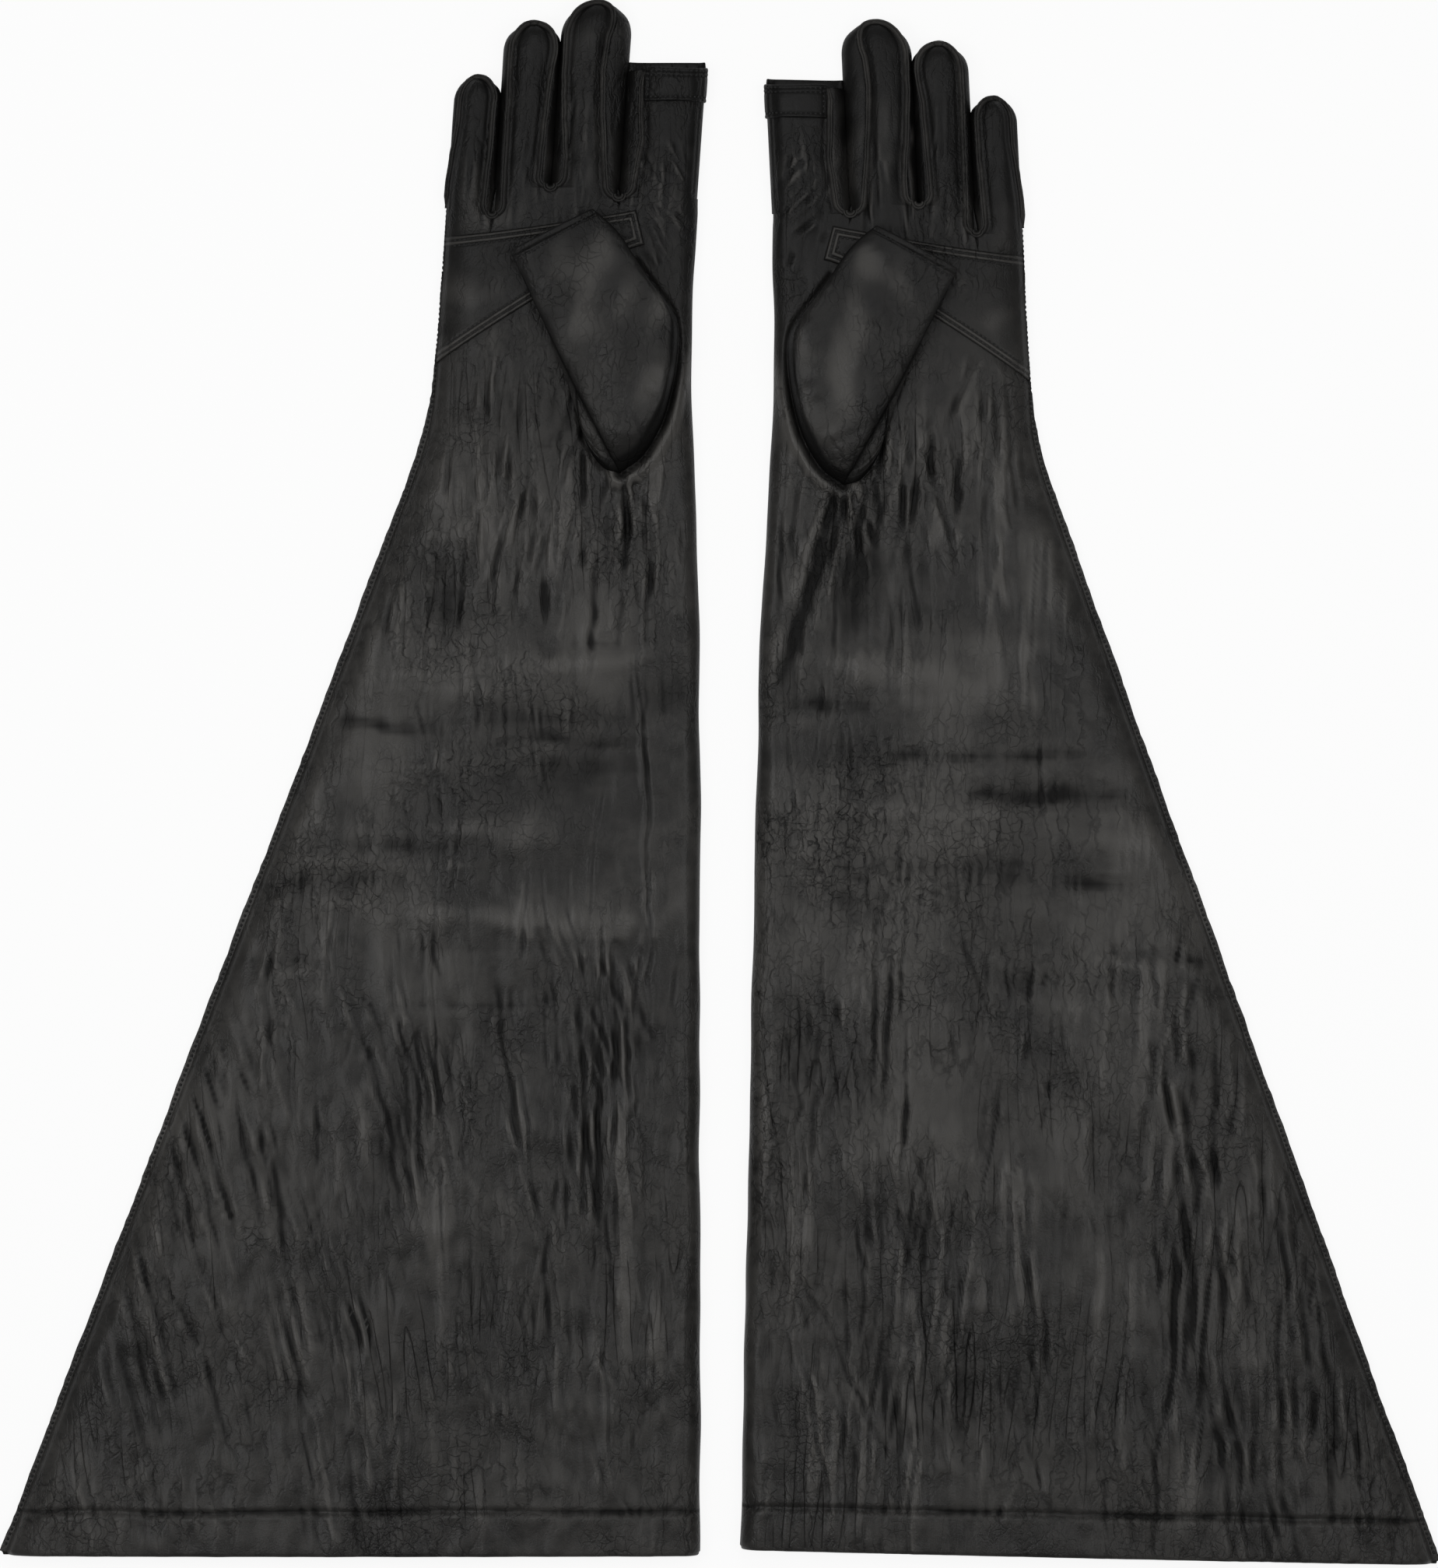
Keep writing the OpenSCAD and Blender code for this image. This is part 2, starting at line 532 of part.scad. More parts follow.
// ---- Thumb: a flattened tube folded over the palm along a line ----
thumb_low = [thumb_low_x, gauntlet_l + thumb_low_y];
thumb_high = [thumb_high_x, gauntlet_l + thumb_high_y];
fold_dir = unit(thumb_high - thumb_low);
fold_out = [fold_dir.y, -fold_dir.x];
thumb_mid = thumb_high + thumb_end_rise * fold_dir + thumb_l * fold_out;
end_dir = [cos(thumb_end_turn), -sin(thumb_end_turn)];
thumb_end_low = thumb_mid + thumb_end_w / 2 * end_dir;
thumb_end_high = thumb_mid - thumb_end_w / 2 * end_dir;
free_dir = unit(thumb_end_high - thumb_high);
function thumb_left(t) = lerp(thumb_low + move_gap / 2 * fold_out, thumb_end_low, t);
function thumb_right(t) = lerp(thumb_high + move_gap / 2 * fold_out, thumb_end_high, t)
    + thumb_swell * sin(180 * t) * [-free_dir.y, free_dir.x];
thumb_steps = 7;
thumb_ts = [0, 0.2, 0.4, 0.6, 0.8, 1];
// Ring of [share across, height] points of the flattened tube
thumb_loop = [for (k = [0:2 * thumb_steps - 1])
    let (a = 180 * k / thumb_steps, c = cos(a), s = sin(a))
    [0.5 + 0.5 * sign(c) * pow(abs(c), 0.75), 0.5 + 0.5 * sign(s) * pow(abs(s), 0.55)]];
function thumb_ring(t, depth) =
    let (a = thumb_left(t), b = thumb_right(t), w = norm(b - a))
    let (flat = inset([for (p = thumb_loop) [p.x * w, thumb_z + p.y * thumb_h]], depth))
    [for (k = [len(flat) - 1:-1:0]) let (p = flat[k], q = lerp(a, b, p.x / w)) [q.x, q.y, p.y]];
function thumb_grid(ts, depth) = lay_grid([for (t = ts) thumb_ring(t, depth)]);
module thumb_stall() color(leather) shell(thumb_grid(thumb_ts, 0), thumb_grid(thumb_ts, leather_t), true);
module thumb_hem() {
    ts = [1 - thumb_hem_l / thumb_l, 1];
    depth = leather_t + ply_gap;
    color(leather_light) shell(thumb_grid(ts, depth), thumb_grid(ts, depth + leather_t), true);
}
// One row of stitches round the thumb's open end
module thumb_thread() {
    inset_t = 2 / thumb_l;
    half_t = thread_w / 2 / thumb_l;
    ts = [1 - inset_t - half_t, 1 - inset_t + half_t];
    color(thread_colour) shell(thumb_grid(ts, -thread_gap - thread_h), thumb_grid(ts, -thread_gap), true);
}

// Crescent at the thumb's root, from its seam on the palm up to the fold line
module thumb_gusset() {
    length = norm(thumb_high - thumb_low);
    along = [0.03, 0.12, 0.25, 0.4, 0.55, 0.7, 0.85, 0.97];
    grid = function(t) lay_grid([for (a = [0, 22, 45, 68, 90]) [for (s = along)
        let (reach = 1.6 + (gusset_d - 1.6) * sin(180 * s))
        let (foot = thumb_low + s * length * fold_dir - (move_gap / 2 + reach) * fold_out)
        let (e = outer_x(foot.y) - seam_lip - foot.x)
        let (floor_z = palm_z(e, tube_w(foot.y), crown(foot.y)) + 1.4 * ply_gap)
        let (p = move_gap / 2 + (reach - t) * cos(a))
        let (q = thumb_low + s * length * fold_dir - p * fold_out)
        [q.x, q.y, floor_z + (thumb_top - t - floor_z) * sin(a)]]]);
    color(leather_light) shell(grid(0), grid(leather_t));
}

// ---- Placing the two gloves with the pair's box centred on the origin ----
hem_out = outer_x(0);
length_full = knuckle_y + middle_l;
turn_s = sin(left_turn);
turn_c = cos(left_turn);
reach_right = pair_gap / 2 + hem_out;
reach_left = pair_gap / 2 + hem_out * turn_c;
low_y = min(0, left_shift - hem_out * turn_s);
high_y = length_full;
centre = [(reach_left - reach_right) / 2, (low_y + high_y) / 2];

module right_hand() {
    $lay = 1;
    translate([-pair_gap / 2 - centre.x, -centre.y, 0]) mirror([1, 0, 0]) children();
}
module left_hand() {
    $lay = left_lay;
    translate([pair_gap / 2 - centre.x, left_shift - centre.y, 0]) rotate(-left_turn) children();
}

module piece(part) {
    if (part == "gauntlet") gauntlet();
    if (part == "cuff_hem") cuff_hem();
    if (part == "gauntlet_seam_thread") gauntlet_seam_thread();
    if (part == "hand_trank") hand_trank();
    if (part == "hand_seam_thread") hand_seam_thread();
    if (part == "palm_patch") palm_patch();
    if (part == "patch_thread") patch_thread();
    if (part == "thumb_gusset") thumb_gusset();
    if (part == "little_ring_crotch") little_ring_crotch();
    if (part == "ring_middle_crotch") ring_middle_crotch();
    if (part == "middle_index_crotch") middle_index_crotch();
    if (part == "thumb_stall") thumb_stall();
    if (part == "thumb_hem") thumb_hem();
    if (part == "thumb_thread") thumb_thread();
    if (part == "index_stall") index_stall();
    if (part == "index_fourchette") index_fourchette();
    if (part == "index_band") index_band();
    if (part == "index_band_thread") index_band_thread();
    if (part == "middle_palm_panel") middle_palm_panel();
    if (part == "middle_back_panel") middle_back_panel();
    if (part == "middle_inner_fourchette") middle_inner_fourchette();
    if (part == "middle_outer_fourchette") middle_outer_fourchette();
    if (part == "ring_palm_panel") ring_palm_panel();
    if (part == "ring_back_panel") ring_back_panel();
    if (part == "ring_inner_fourchette") ring_inner_fourchette();
    if (part == "ring_outer_fourchette") ring_outer_fourchette();
    if (part == "little_palm_panel") little_palm_panel();
    if (part == "little_back_panel") little_back_panel();
    if (part == "little_fourchette") little_fourchette();
}

for (part = PARTS) right_hand() piece(part);
for (part = PARTS) left_hand() piece(part);
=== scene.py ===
"""Leather gauntlet gloves: the leather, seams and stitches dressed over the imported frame."""
import math

import bpy
import numpy as np
from bpy.props import FloatProperty, FloatVectorProperty, PointerProperty
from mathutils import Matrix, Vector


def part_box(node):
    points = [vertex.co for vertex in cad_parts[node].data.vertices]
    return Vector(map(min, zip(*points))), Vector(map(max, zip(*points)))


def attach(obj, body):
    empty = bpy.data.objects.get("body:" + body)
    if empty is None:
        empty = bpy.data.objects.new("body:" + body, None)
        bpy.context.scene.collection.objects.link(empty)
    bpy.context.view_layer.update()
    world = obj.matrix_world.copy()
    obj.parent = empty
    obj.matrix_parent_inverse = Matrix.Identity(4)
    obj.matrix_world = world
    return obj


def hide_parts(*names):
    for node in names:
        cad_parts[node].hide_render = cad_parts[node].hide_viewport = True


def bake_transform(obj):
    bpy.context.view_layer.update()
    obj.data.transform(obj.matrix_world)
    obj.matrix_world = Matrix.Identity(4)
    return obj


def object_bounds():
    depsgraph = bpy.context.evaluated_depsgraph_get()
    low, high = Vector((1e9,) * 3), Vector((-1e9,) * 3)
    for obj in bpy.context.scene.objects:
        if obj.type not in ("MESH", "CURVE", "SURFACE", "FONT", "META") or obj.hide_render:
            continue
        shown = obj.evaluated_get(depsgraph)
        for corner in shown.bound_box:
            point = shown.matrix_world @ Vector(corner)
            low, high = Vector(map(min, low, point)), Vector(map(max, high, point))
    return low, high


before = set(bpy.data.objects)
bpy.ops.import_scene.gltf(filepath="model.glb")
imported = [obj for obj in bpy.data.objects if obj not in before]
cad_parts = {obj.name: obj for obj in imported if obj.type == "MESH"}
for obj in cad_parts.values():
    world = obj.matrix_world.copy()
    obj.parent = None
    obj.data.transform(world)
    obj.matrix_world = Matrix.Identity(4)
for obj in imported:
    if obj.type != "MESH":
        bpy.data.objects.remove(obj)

bl_info = {
    "name": "Leather Gauntlet Gloves",
    "version": (1, 0, 0),
    "blender": (4, 5, 0),
    "location": "View3D > Sidebar > Gloves",
    "description": "Builds a pair of long leather gauntlet gloves",
    "category": "Add Mesh",
}

CAD_BOX = [list(corner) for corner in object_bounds()]

# ---- The pattern, in millimetres: x from the inner fold, y from the hem, z up ----
MM = 0.001
WRIST_Y = 408.0
KNUCKLE_Y = WRIST_Y + 119.5    # crotch of the ring and middle fingers
INDEX_Y = KNUCKLE_Y - 4.0
LITTLE_Y = KNUCKLE_Y - 10.5
FLARE_Y = WRIST_Y + 32.0       # the gauntlet starts to widen
FLARE_BLEND = 10.0
TAPER = 0.07
HEM_L, HEM_Y = 15.0, 1.2    # width of the turned-in hem, and where its outside begins
HEM_W = float(np.ptp([corner[0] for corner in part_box("right_gauntlet")])) / MM
CUFF_H, HAND_H = 14.0, 12.0    # of the tube above the table
WAIST_IN, WAIST_Y, WAIST_SPREAD = 3.4, WRIST_Y + 47.0, 60.0    # the inner fold draws in below the thumb
LEATHER_T = 0.9
PLY_GAP = 0.25
SEAM_Z = 2.2    # height of the side seam's middle
FOLD_Z = 3.2    # height of the inner fold's middle
# How far in the leather rises from the seam and from the fold, and the height it has there, as a share
RISE_SEAM, RISE_FOLD, SHOULDER = 16.0, 7.0, 0.78
LEAN = math.tan(math.radians(4.0))
FOLD_X = 0.8
GAP = 1.4    # between two stalls
WIDTHS = {"little": 17.4, "ring": 20.4, "middle": 25.2, "index": 29.5}
LENGTHS = {"little": 54.0, "ring": 64.5, "middle": 72.5, "index": 50.5}
BASES = {"little": LITTLE_Y, "ring": KNUCKLE_Y, "middle": KNUCKLE_Y, "index": INDEX_Y}
CENTRES = {"index": FOLD_X + WIDTHS["index"] / 2}
CENTRES["middle"] = CENTRES["index"] + WIDTHS["index"] / 2 + GAP + WIDTHS["middle"] / 2
CENTRES["ring"] = CENTRES["middle"] + WIDTHS["middle"] / 2 + GAP + WIDTHS["ring"] / 2
CENTRES["little"] = CENTRES["ring"] + WIDTHS["ring"] / 2 + GAP + WIDTHS["little"] / 2
PALM_W = CENTRES["little"] + WIDTHS["little"] / 2
FLARE = (HEM_W - PALM_W - TAPER * KNUCKLE_Y) / FLARE_Y
FINGERS = ["little", "ring", "middle", "index"]
TIP = 0.55    # length of a stall's round tip, as a share of its width
UP = np.array([0.0, 0.0, 1.0])
SEAM_SHORT = 0.9     # how much an outseam falls short of the stall's tip
RIDGE_W = 1.9        # of two raw edges sewn together
STALL_STEP = 1.15    # between rows of points on a stall
# Height of each crotch, on the outer and the inner side of a finger
CROTCH = {("ring", 1): LITTLE_Y, ("little", -1): LITTLE_Y, ("ring", -1): KNUCKLE_Y,
          ("middle", 1): KNUCKLE_Y, ("middle", -1): INDEX_Y, ("index", 1): INDEX_Y,
          ("little", 1): LITTLE_Y, ("index", -1): INDEX_Y}
# How far the outseam lies inside the stall's side, by height above the crotch
INSET = {
    ("little", 1): ([0, 14, 24, 36, 54], [0, 0.5, 1.4, 2.9, 3.0]),
    ("little", -1): ([0, 12, 30, 54], [3.6, 3.0, 2.2, 1.8]),
    ("ring", 1): ([0, 12, 30, 75], [4.0, 3.4, 3.1, 2.6]),
    ("ring", -1): ([0, 12, 28, 40, 52, 65], [4.6, 4.3, 3.7, 3.2, 1.6, 1.2]),
    ("middle", 1): ([0, 12, 28, 45, 72], [4.6, 4.8, 3.0, 1.9, 1.8]),
    ("middle", -1): ([0, 15, 30, 50, 62, 76], [4.6, 6.4, 8.0, 9.4, 8.2, 3.0]),
    ("index", 1): ([0, 10, 22, 34, 50], [4.6, 5.6, 7.0, 6.0, 5.2]),
}
PANEL_EDGE_Z, STALL_TOP_Z, STALL_LOW_Z = 9.7, 12.3, 2.6    # at a stall's outseams, at its top and low on its sides
BAND_L = 13.0    # of the band round the end of the index stall
PATCH_TOP, PATCH_BOTTOM = WRIST_Y + 100.8, WRIST_Y + 52.0
STRAP_TOP, STRAP_W, STRAP_X, PATCH_SLANT = WRIST_Y + 110.8, 13.4, 23.0, 3.3
PATCH_SEAM_GAP = 0.4
PATCH_ROWS = (1.8, 3.8)    # of stitches, from the edge
LOW_SLOPE = 0.86           # share of a rise that counts as distance from the slanting lower edge
# The thumb folds over the palm along the line between these two points
THUMB_LOW = np.array([31.6, WRIST_Y + 12.6])
THUMB_HIGH = np.array([8.4, WRIST_Y + 68.7])
FOLD_DIR = (THUMB_HIGH - THUMB_LOW) / np.linalg.norm(THUMB_HIGH - THUMB_LOW)
FOLD_OUT = np.array([FOLD_DIR[1], -FOLD_DIR[0]])
THUMB_L, THUMB_END_W, THUMB_END_TURN = 57.5, 36.0, math.radians(27.2)
THUMB_RUN = 60.0    # from the root to the end, along the middle
THUMB_ROW = 2.3     # from the end to its row of stitches
THUMB_MID = THUMB_HIGH + 12.5 * FOLD_DIR + THUMB_L * FOLD_OUT
END_DIR = np.array([math.cos(THUMB_END_TURN), -math.sin(THUMB_END_TURN)])
THUMB_END_LOW = THUMB_MID + THUMB_END_W / 2 * END_DIR
THUMB_END_HIGH = THUMB_MID - THUMB_END_W / 2 * END_DIR
# The seam that sews the thumb into the palm, from its lowest point up either side
ROOT_INNER = [(30.8, 417.4), (22.0, 424.0), (14.4, 437.0), (10.2, 452.5), (8.6, 464.0),
              (8.4, 473.0), (10.4, 479.5), (16.0, 487.5), (24.5, 499.0)]
ROOT_OUTER = [(30.8, 417.4), (37.2, 419.4), (42.8, 426.6), (45.9, 436.2), (47.4, 449.7),
              (51.0, 464.0), (51.0, 480.0), (41.0, 492.0), (24.5, 499.0)]


def ramp(x):
    """From 0 to 1, level at both ends."""
    x = np.clip(x, 0, 1)
    return x * x * (3 - 2 * x)


def quarter(x):
    """Up a quarter of a circle, from 0 to 1."""
    return np.sqrt(1 - (1 - np.clip(x, 0, 1)) ** 2)


def lerp(a, b, t):
    return a + (b - a) * t


def bell(x, width):
    """A rounded hump, 1 high."""
    return np.exp(-(x / width) ** 2)


def outer_x(y):
    """The side seam's outer edge: straight along the palm, then flared to the hem."""
    return PALM_W + TAPER * (KNUCKLE_Y - y) + FLARE * FLARE_BLEND * np.logaddexp(0, (FLARE_Y - y) / FLARE_BLEND)


def inner_x(y):
    """The inner fold."""
    waist = WAIST_IN * bell(y - WAIST_Y, WAIST_SPREAD)
    stall = FOLD_X - LEAN * (y - KNUCKLE_Y)
    return lerp(waist, stall, ramp((y - INDEX_Y + 6) / 6))


def lip_w(y):
    """Width of the side seam's lip: it turns under on the hand."""
    return lerp(2.6, 0.7, ramp((y - WRIST_Y - 20) / 36))


def in_from_seam(share, y):
    """A place that share of the way from the side seam to the inner fold."""
    return outer_x(y) - share * (outer_x(y) - inner_x(y))


def from_lip(x, y):
    """How far inside the side seam's lip a place is."""
    return outer_x(y) - lip_w(y) - x


def stall_x(finger, y):
    """The middle of a stall, which leans a little."""
    return CENTRES[finger] - LEAN * (y - KNUCKLE_Y)


def curve(points, count):
    """Points evenly spaced on a smooth curve through the given ones."""
    p = np.array(points, float)
    p = np.vstack([2 * p[0] - p[1], p, 2 * p[-1] - p[-2]])
    fine = []
    for k in range(1, len(p) - 2):
        for t in np.linspace(0, 1, 12, endpoint=False):
            a, b, c, d = p[k - 1], p[k], p[k + 1], p[k + 2]
            fine.append(0.5 * (2 * b + (c - a) * t + (2 * a - 5 * b + 4 * c - d) * t ** 2
                               + (3 * b - a - 3 * c + d) * t ** 3))
    fine = np.array(fine + [p[-2]])
    run = np.concatenate([[0], np.cumsum(np.linalg.norm(np.diff(fine, axis=0), axis=1))])
    at = np.linspace(0, run[-1], count)
    return np.stack([np.interp(at, run, fine[:, k]) for k in range(fine.shape[1])], 1)


def distance_to(line, x, y):
    """Distance from each point to a line of points."""
    best = np.full(np.shape(x), 1e9)
    for (ax, ay), (bx, by) in zip(line[:-1], line[1:]):
        dx, dy = bx - ax, by - ay
        t = np.clip(((x - ax) * dx + (y - ay) * dy) / (dx * dx + dy * dy), 0, 1)
        best = np.minimum(best, np.hypot(x - ax - t * dx, y - ay - t * dy))
    return best


def lattice_noise(x, y, seed):
    """Smooth noise from -1 to 1 on a lattice one unit wide."""
    x, y = np.broadcast_arrays(np.asarray(x, float), np.asarray(y, float))
    xi, yi = np.floor(x).astype(np.int64), np.floor(y).astype(np.int64)
    xf, yf = x - xi, y - yi
    u = xf ** 3 * (xf * (xf * 6 - 15) + 10)
    v = yf ** 3 * (yf * (yf * 6 - 15) + 10)

    def corner(dx, dy):
        h = ((xi + dx) * 374761393 + (yi + dy) * 668265263 + seed * 974634777) & 0xFFFFFFFF
        h = ((h ^ (h >> 13)) * 1274126177) & 0xFFFFFFFF
        a = (h ^ (h >> 16)) * (2 * math.pi / 0xFFFFFFFF)
        return np.cos(a) * (xf - dx) + np.sin(a) * (yf - dy)

    return 1.4 * lerp(lerp(corner(0, 0), corner(1, 0), u), lerp(corner(0, 1), corner(1, 1), u), v)


def folds(noise, soft=0.0009):
    """Rounded ridges between narrow creases."""
    return 1.25 * np.sqrt(noise * noise + soft) - 0.34


# The creases that stand out on each glove: middle, turn from upright, length, width, depth and number side by side
LONG_CREASES = {
    "right": [(101, 168, 2.6, 155, 0.75, 1.1, 1), (176, 130, 47, 36, 1.0, 0.9, 1), (133, 101, 19.5, 62, 1.2, 1.1, 2),
              (201, 100, 27, 42, 1.3, 1.2, 1), (188, 65, 12, 44, 1.2, 1.0, 2), (164, 138, 10, 56, 1.3, 1.2, 2),
              (158, 82, 13, 50, 1.1, 1.1, 3), (110, 152, 2, 52, 1.3, 0.9, 2), (47, 184, 6, 58, 1.1, 0.7, 2),
              (67, 148, 15, 64, 1.0, 0.8, 1), (56, 100, 4.4, 80, 1.1, 0.8, 3), (213, 78, 20, 40, 1.2, 0.8, 2),
              (86, 58, 22, 40, 0.9, 0.6, 1), (178, 82, 33, 46, 0.9, 0.6, 1), (72, 428, -3, 46, 1.3, 1.0, 2),
              (62, 385, 1, 52, 1.5, 0.9, 2), (30, 372, -3, 54, 1.6, 0.9, 1), (88, 405, -2, 36, 1.2, 0.8, 1)],
    "left": [(19, 372, 17, 106, 3.0, 1.7, 1), (12.5, 374, 17, 100, 4.2, -1.0, 1), (27, 402, 17, 40, 1.4, 0.9, 2),
             (36, 392, 8, 40, 1.2, 0.8, 2), (56, 404, 6, 64, 1.5, 1.0, 2), (74, 418, 5, 40, 1.4, 0.9, 1),
             (88, 398, -4, 56, 1.5, 0.9, 2), (52, 362, 2, 40, 1.3, 0.8, 2), (96, 420, -8, 44, 1.3, 0.7, 1)],
}
# Soft folds across the gauntlets: middle, turn in degrees, length, width, depth
CROSS_FOLDS = {
    "right": [(115, 274, 88, 83, 4.2, 0.8), (41, 351, 94, 44, 3.4, 0.8), (121, 319, 86, 48, 2.4, 0.5),
              (50, 314, 91, 80, 2.0, 0.4), (141, 260, 90, 60, 4.5, 0.6), (160, 229, 84, 46, 2.0, 0.45),
              (90, 212, 92, 84, 1.4, 0.4), (78, 245, 87, 120, 6.0, -0.5), (60, 330, 90, 90, 6.0, -0.4),
              (166, 208, -1, 84, 1.2, 0.9), (121, 360, 3, 52, 1.0, 0.6), (118, 358, 3, 46, 1.0, 0.5),
              (86, 335, 4, 42, 1.2, 0.7), (41, 361, -2, 54, 1.4, 1.0), (20, 277, 1, 160, 0.9, 0.5),
              (25, 218, 25, 46, 1.2, 0.7), (31, 212, 22, 40, 1.1, 0.6), (129, 214, 23, 44, 1.2, 0.7)],
    "left": [(90, 297, 89, 132, 3.6, 0.8), (92, 313, 88, 92, 2.6, 0.8), (28, 331, 84, 42, 3.6, 0.7),
             (56, 277, 89, 96, 6.5, -0.5), (133, 263, 87, 30, 2.6, 0.7), (155, 236, 96, 52, 1.8, 0.6),
             (28, 266, 93, 34, 1.8, 0.6), (120, 224, 88, 70, 5.0, 0.3), (48, 347, 92, 60, 6.0, -0.4)],
}
# Heights above the hem at which the strength of the folds is set
UP_TO_HEM = [0, 18, 60, 185, 225, 330, 370, 440, 470, 530, 600]
SEAM_INNER = curve(ROOT_INNER, 40)
SEAM_OUTER = curve(ROOT_OUTER, 40)


class Glove:
    """One glove of the pair: where it lies and how its leather has creased."""

    def __init__(self, side):
        self.side = side
        self.right = side == "right"
        self.seed = 11 if self.right else 58
        low, high = [np.array(corner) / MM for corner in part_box(side + "_gauntlet")]
        turn = 0.0 if self.right else math.radians(1.26)
        self.lay = 1.0 if self.right else 0.985
        self.cos, self.sin = math.cos(turn), math.sin(turn)
        self.origin = (high[0], low[1]) if self.right else (low[0], low[1] + HEM_W * self.sin)
        rng = np.random.default_rng(self.seed)
        self.creases = []
        for _ in range(50 if self.right else 66):    # bundles of long creases in the lower half
            y = rng.uniform(18, 225)
            share = rng.choice([rng.uniform(0.04, 0.3), rng.uniform(0.3, 0.95), rng.uniform(0.62, 0.95)])
            x = inner_x(y) + share * (outer_x(y) - inner_x(y))
            turn = rng.normal(4 + 17 * share ** 1.5, 4) if self.right else rng.normal(1 - 3 * share, 3)
            wide = 1 + 0.3 * ramp((share - 0.5) / 0.3)    # broader where the leather is less drawn together
            strong, bow, spread = rng.uniform(0.35, 1.05), rng.uniform(0.8, 2.8), rng.normal(0, 2.2)
            length = rng.uniform(40, 140)
            for k in range(rng.integers(1, 6)):
                self.crease(x, y + rng.normal(0, 12), turn + k * spread, length * rng.uniform(0.4, 1.1),
                            wide * rng.uniform(0.75, 1.1), strong * rng.uniform(0.4, 1.1), bow)
                x += wide * rng.uniform(2.0, 6.5)
        for _ in range(300 if self.right else 400):    # short puckers in patches of the lower half
            y = rng.uniform(15, 238)
            x = inner_x(y) + rng.uniform(0.03, 0.96) * (outer_x(y) - inner_x(y))
            if lattice_noise(x / 38, y / 46, self.seed + 30) > (-0.15 if y > 70 else -0.45):
                lean = 12 * (x / 230) ** 1.5 if self.right else 0
                self.crease(x, y, rng.normal(lean, 16), rng.uniform(5, 22), rng.uniform(0.8, 1.2),
                            rng.uniform(0.15, 0.45), 1.0)
        for _ in range(46 if self.right else 64):    # single fine lines higher up
            y = rng.uniform(215, 392)
            self.crease(rng.uniform(12, outer_x(y) - 12), y, rng.normal(1, 5), rng.uniform(14, 60),
                        rng.uniform(0.6, 1.0), rng.uniform(0.2, 0.6), 1.0)
        # Short crinkles between the thumb, the patch and the wrist, then some beside the thumb's seam
        self.scatter(rng, 60, (34, 98), (385, 458), (-3, 7), (10, 40), (0.7, 1.4), (0.2, 0.8), 1.2)
        self.scatter(rng, 14, (6, 30), (340, 412), (0, 5), (14, 46), (0.7, 1.2), (0.2, 0.6), 1.0)
        for _ in range(9):    # folds that fan out below the thumb's seam
            turn = rng.uniform(-26, 20)
            self.crease(ROOT_INNER[0][0] + 0.5 * turn, 406 - abs(turn) * 0.1, -turn, rng.uniform(20, 50), 1.3,
                        rng.uniform(0.4, 0.9), 1.0)
        # Small folds at the roots of the fingers, then slanted ones at the root of the index finger
        deep = 1.0 if self.right else 1.6
        self.scatter(rng, 34, (8, 96), (504, 560), (-4, 5), (8, 30), (0.6, 1.0), (0.2 * deep, 0.5 * deep), 0.8)
        self.scatter(rng, 16, (3, 22), (498, 548), (38, 14), (6, 16), (0.6, 1.1), (0.4, 1.0), 0.8)
        for _ in range(9):    # faint creases across the gauntlet
            x, y = rng.uniform(30, 120), rng.uniform(205, 395)
            self.crease(x, y, rng.normal(88, 8), rng.uniform(25, 80), 1.1, rng.uniform(0.1, 0.3), 3.0)
        for x, y, turn, length, width, depth in CROSS_FOLDS[side]:
            self.crease(x, y, turn, length, width, depth, 3.0)
        for x, y, turn, length, width, depth, count in LONG_CREASES[side]:
            for k in range(count):
                self.crease(x + 3.4 * (k - (count - 1) / 2), y + rng.normal(0, 5), turn + rng.normal(0, 1.0),
                            length * rng.uniform(0.75, 1.1), width, depth * rng.uniform(0.7, 1.1), 0.7)

    def crease(self, x, y, turn, length, width, depth, sway):
        """A crease through a middle point; turn 0 runs up the glove, in degrees."""
        a = math.radians(turn)
        self.creases.append((x, y, math.sin(a), math.cos(a), length / 2, width, depth, sway))

    def scatter(self, rng, count, across, along, turn, length, width, depth, sway):
        """Creases at chance places; each measure is drawn from its range, and the turn from its middle and spread."""
        for _ in range(count):
            self.crease(rng.uniform(*across), rng.uniform(*along), rng.normal(*turn), rng.uniform(*length),
                        rng.uniform(*width), rng.uniform(*depth), sway)

    def place(self, points):
        """Glove points in millimetres to the pair's frame in metres."""
        p = np.asarray(points, float).reshape(-1, 3)
        x, y = p[:, 0], p[:, 1] * self.lay
        if self.right:
            return np.stack([self.origin[0] - x, self.origin[1] + y, p[:, 2]], 1) * MM
        return np.stack([self.origin[0] + x * self.cos + y * self.sin,
                         self.origin[1] - x * self.sin + y * self.cos, p[:, 2]], 1) * MM

    def point(self, x, y, z):
        return tuple(self.place([[x, y, z]])[0])

    def broad(self, x, y, back):
        """Height of the soft folds, before their depth is set."""
        s = self.seed + (500 if back else 0)
        low = ramp((300 - y) / 90)
        h = 1.2 * lattice_noise(x / 62, y / 46, s + 6) * ramp((y - 30) / 60)
        h = h + 1.5 * (1 - low) * lattice_noise(x / 120, y / 19 + 0.1 * x / 19, s + 9) * ramp((430 - y) / 40)
        below_wrist = ramp((y - 325) / 40) * ramp((470 - y) / 40)
        h = h + (0.4 + 0.6 * low + 0.5 * below_wrist) * lattice_noise(x / 15, y / 34, s + 11)
        return h + (0.3 + 0.35 * low) * lattice_noise(x / 7, y / 10, s + 10)

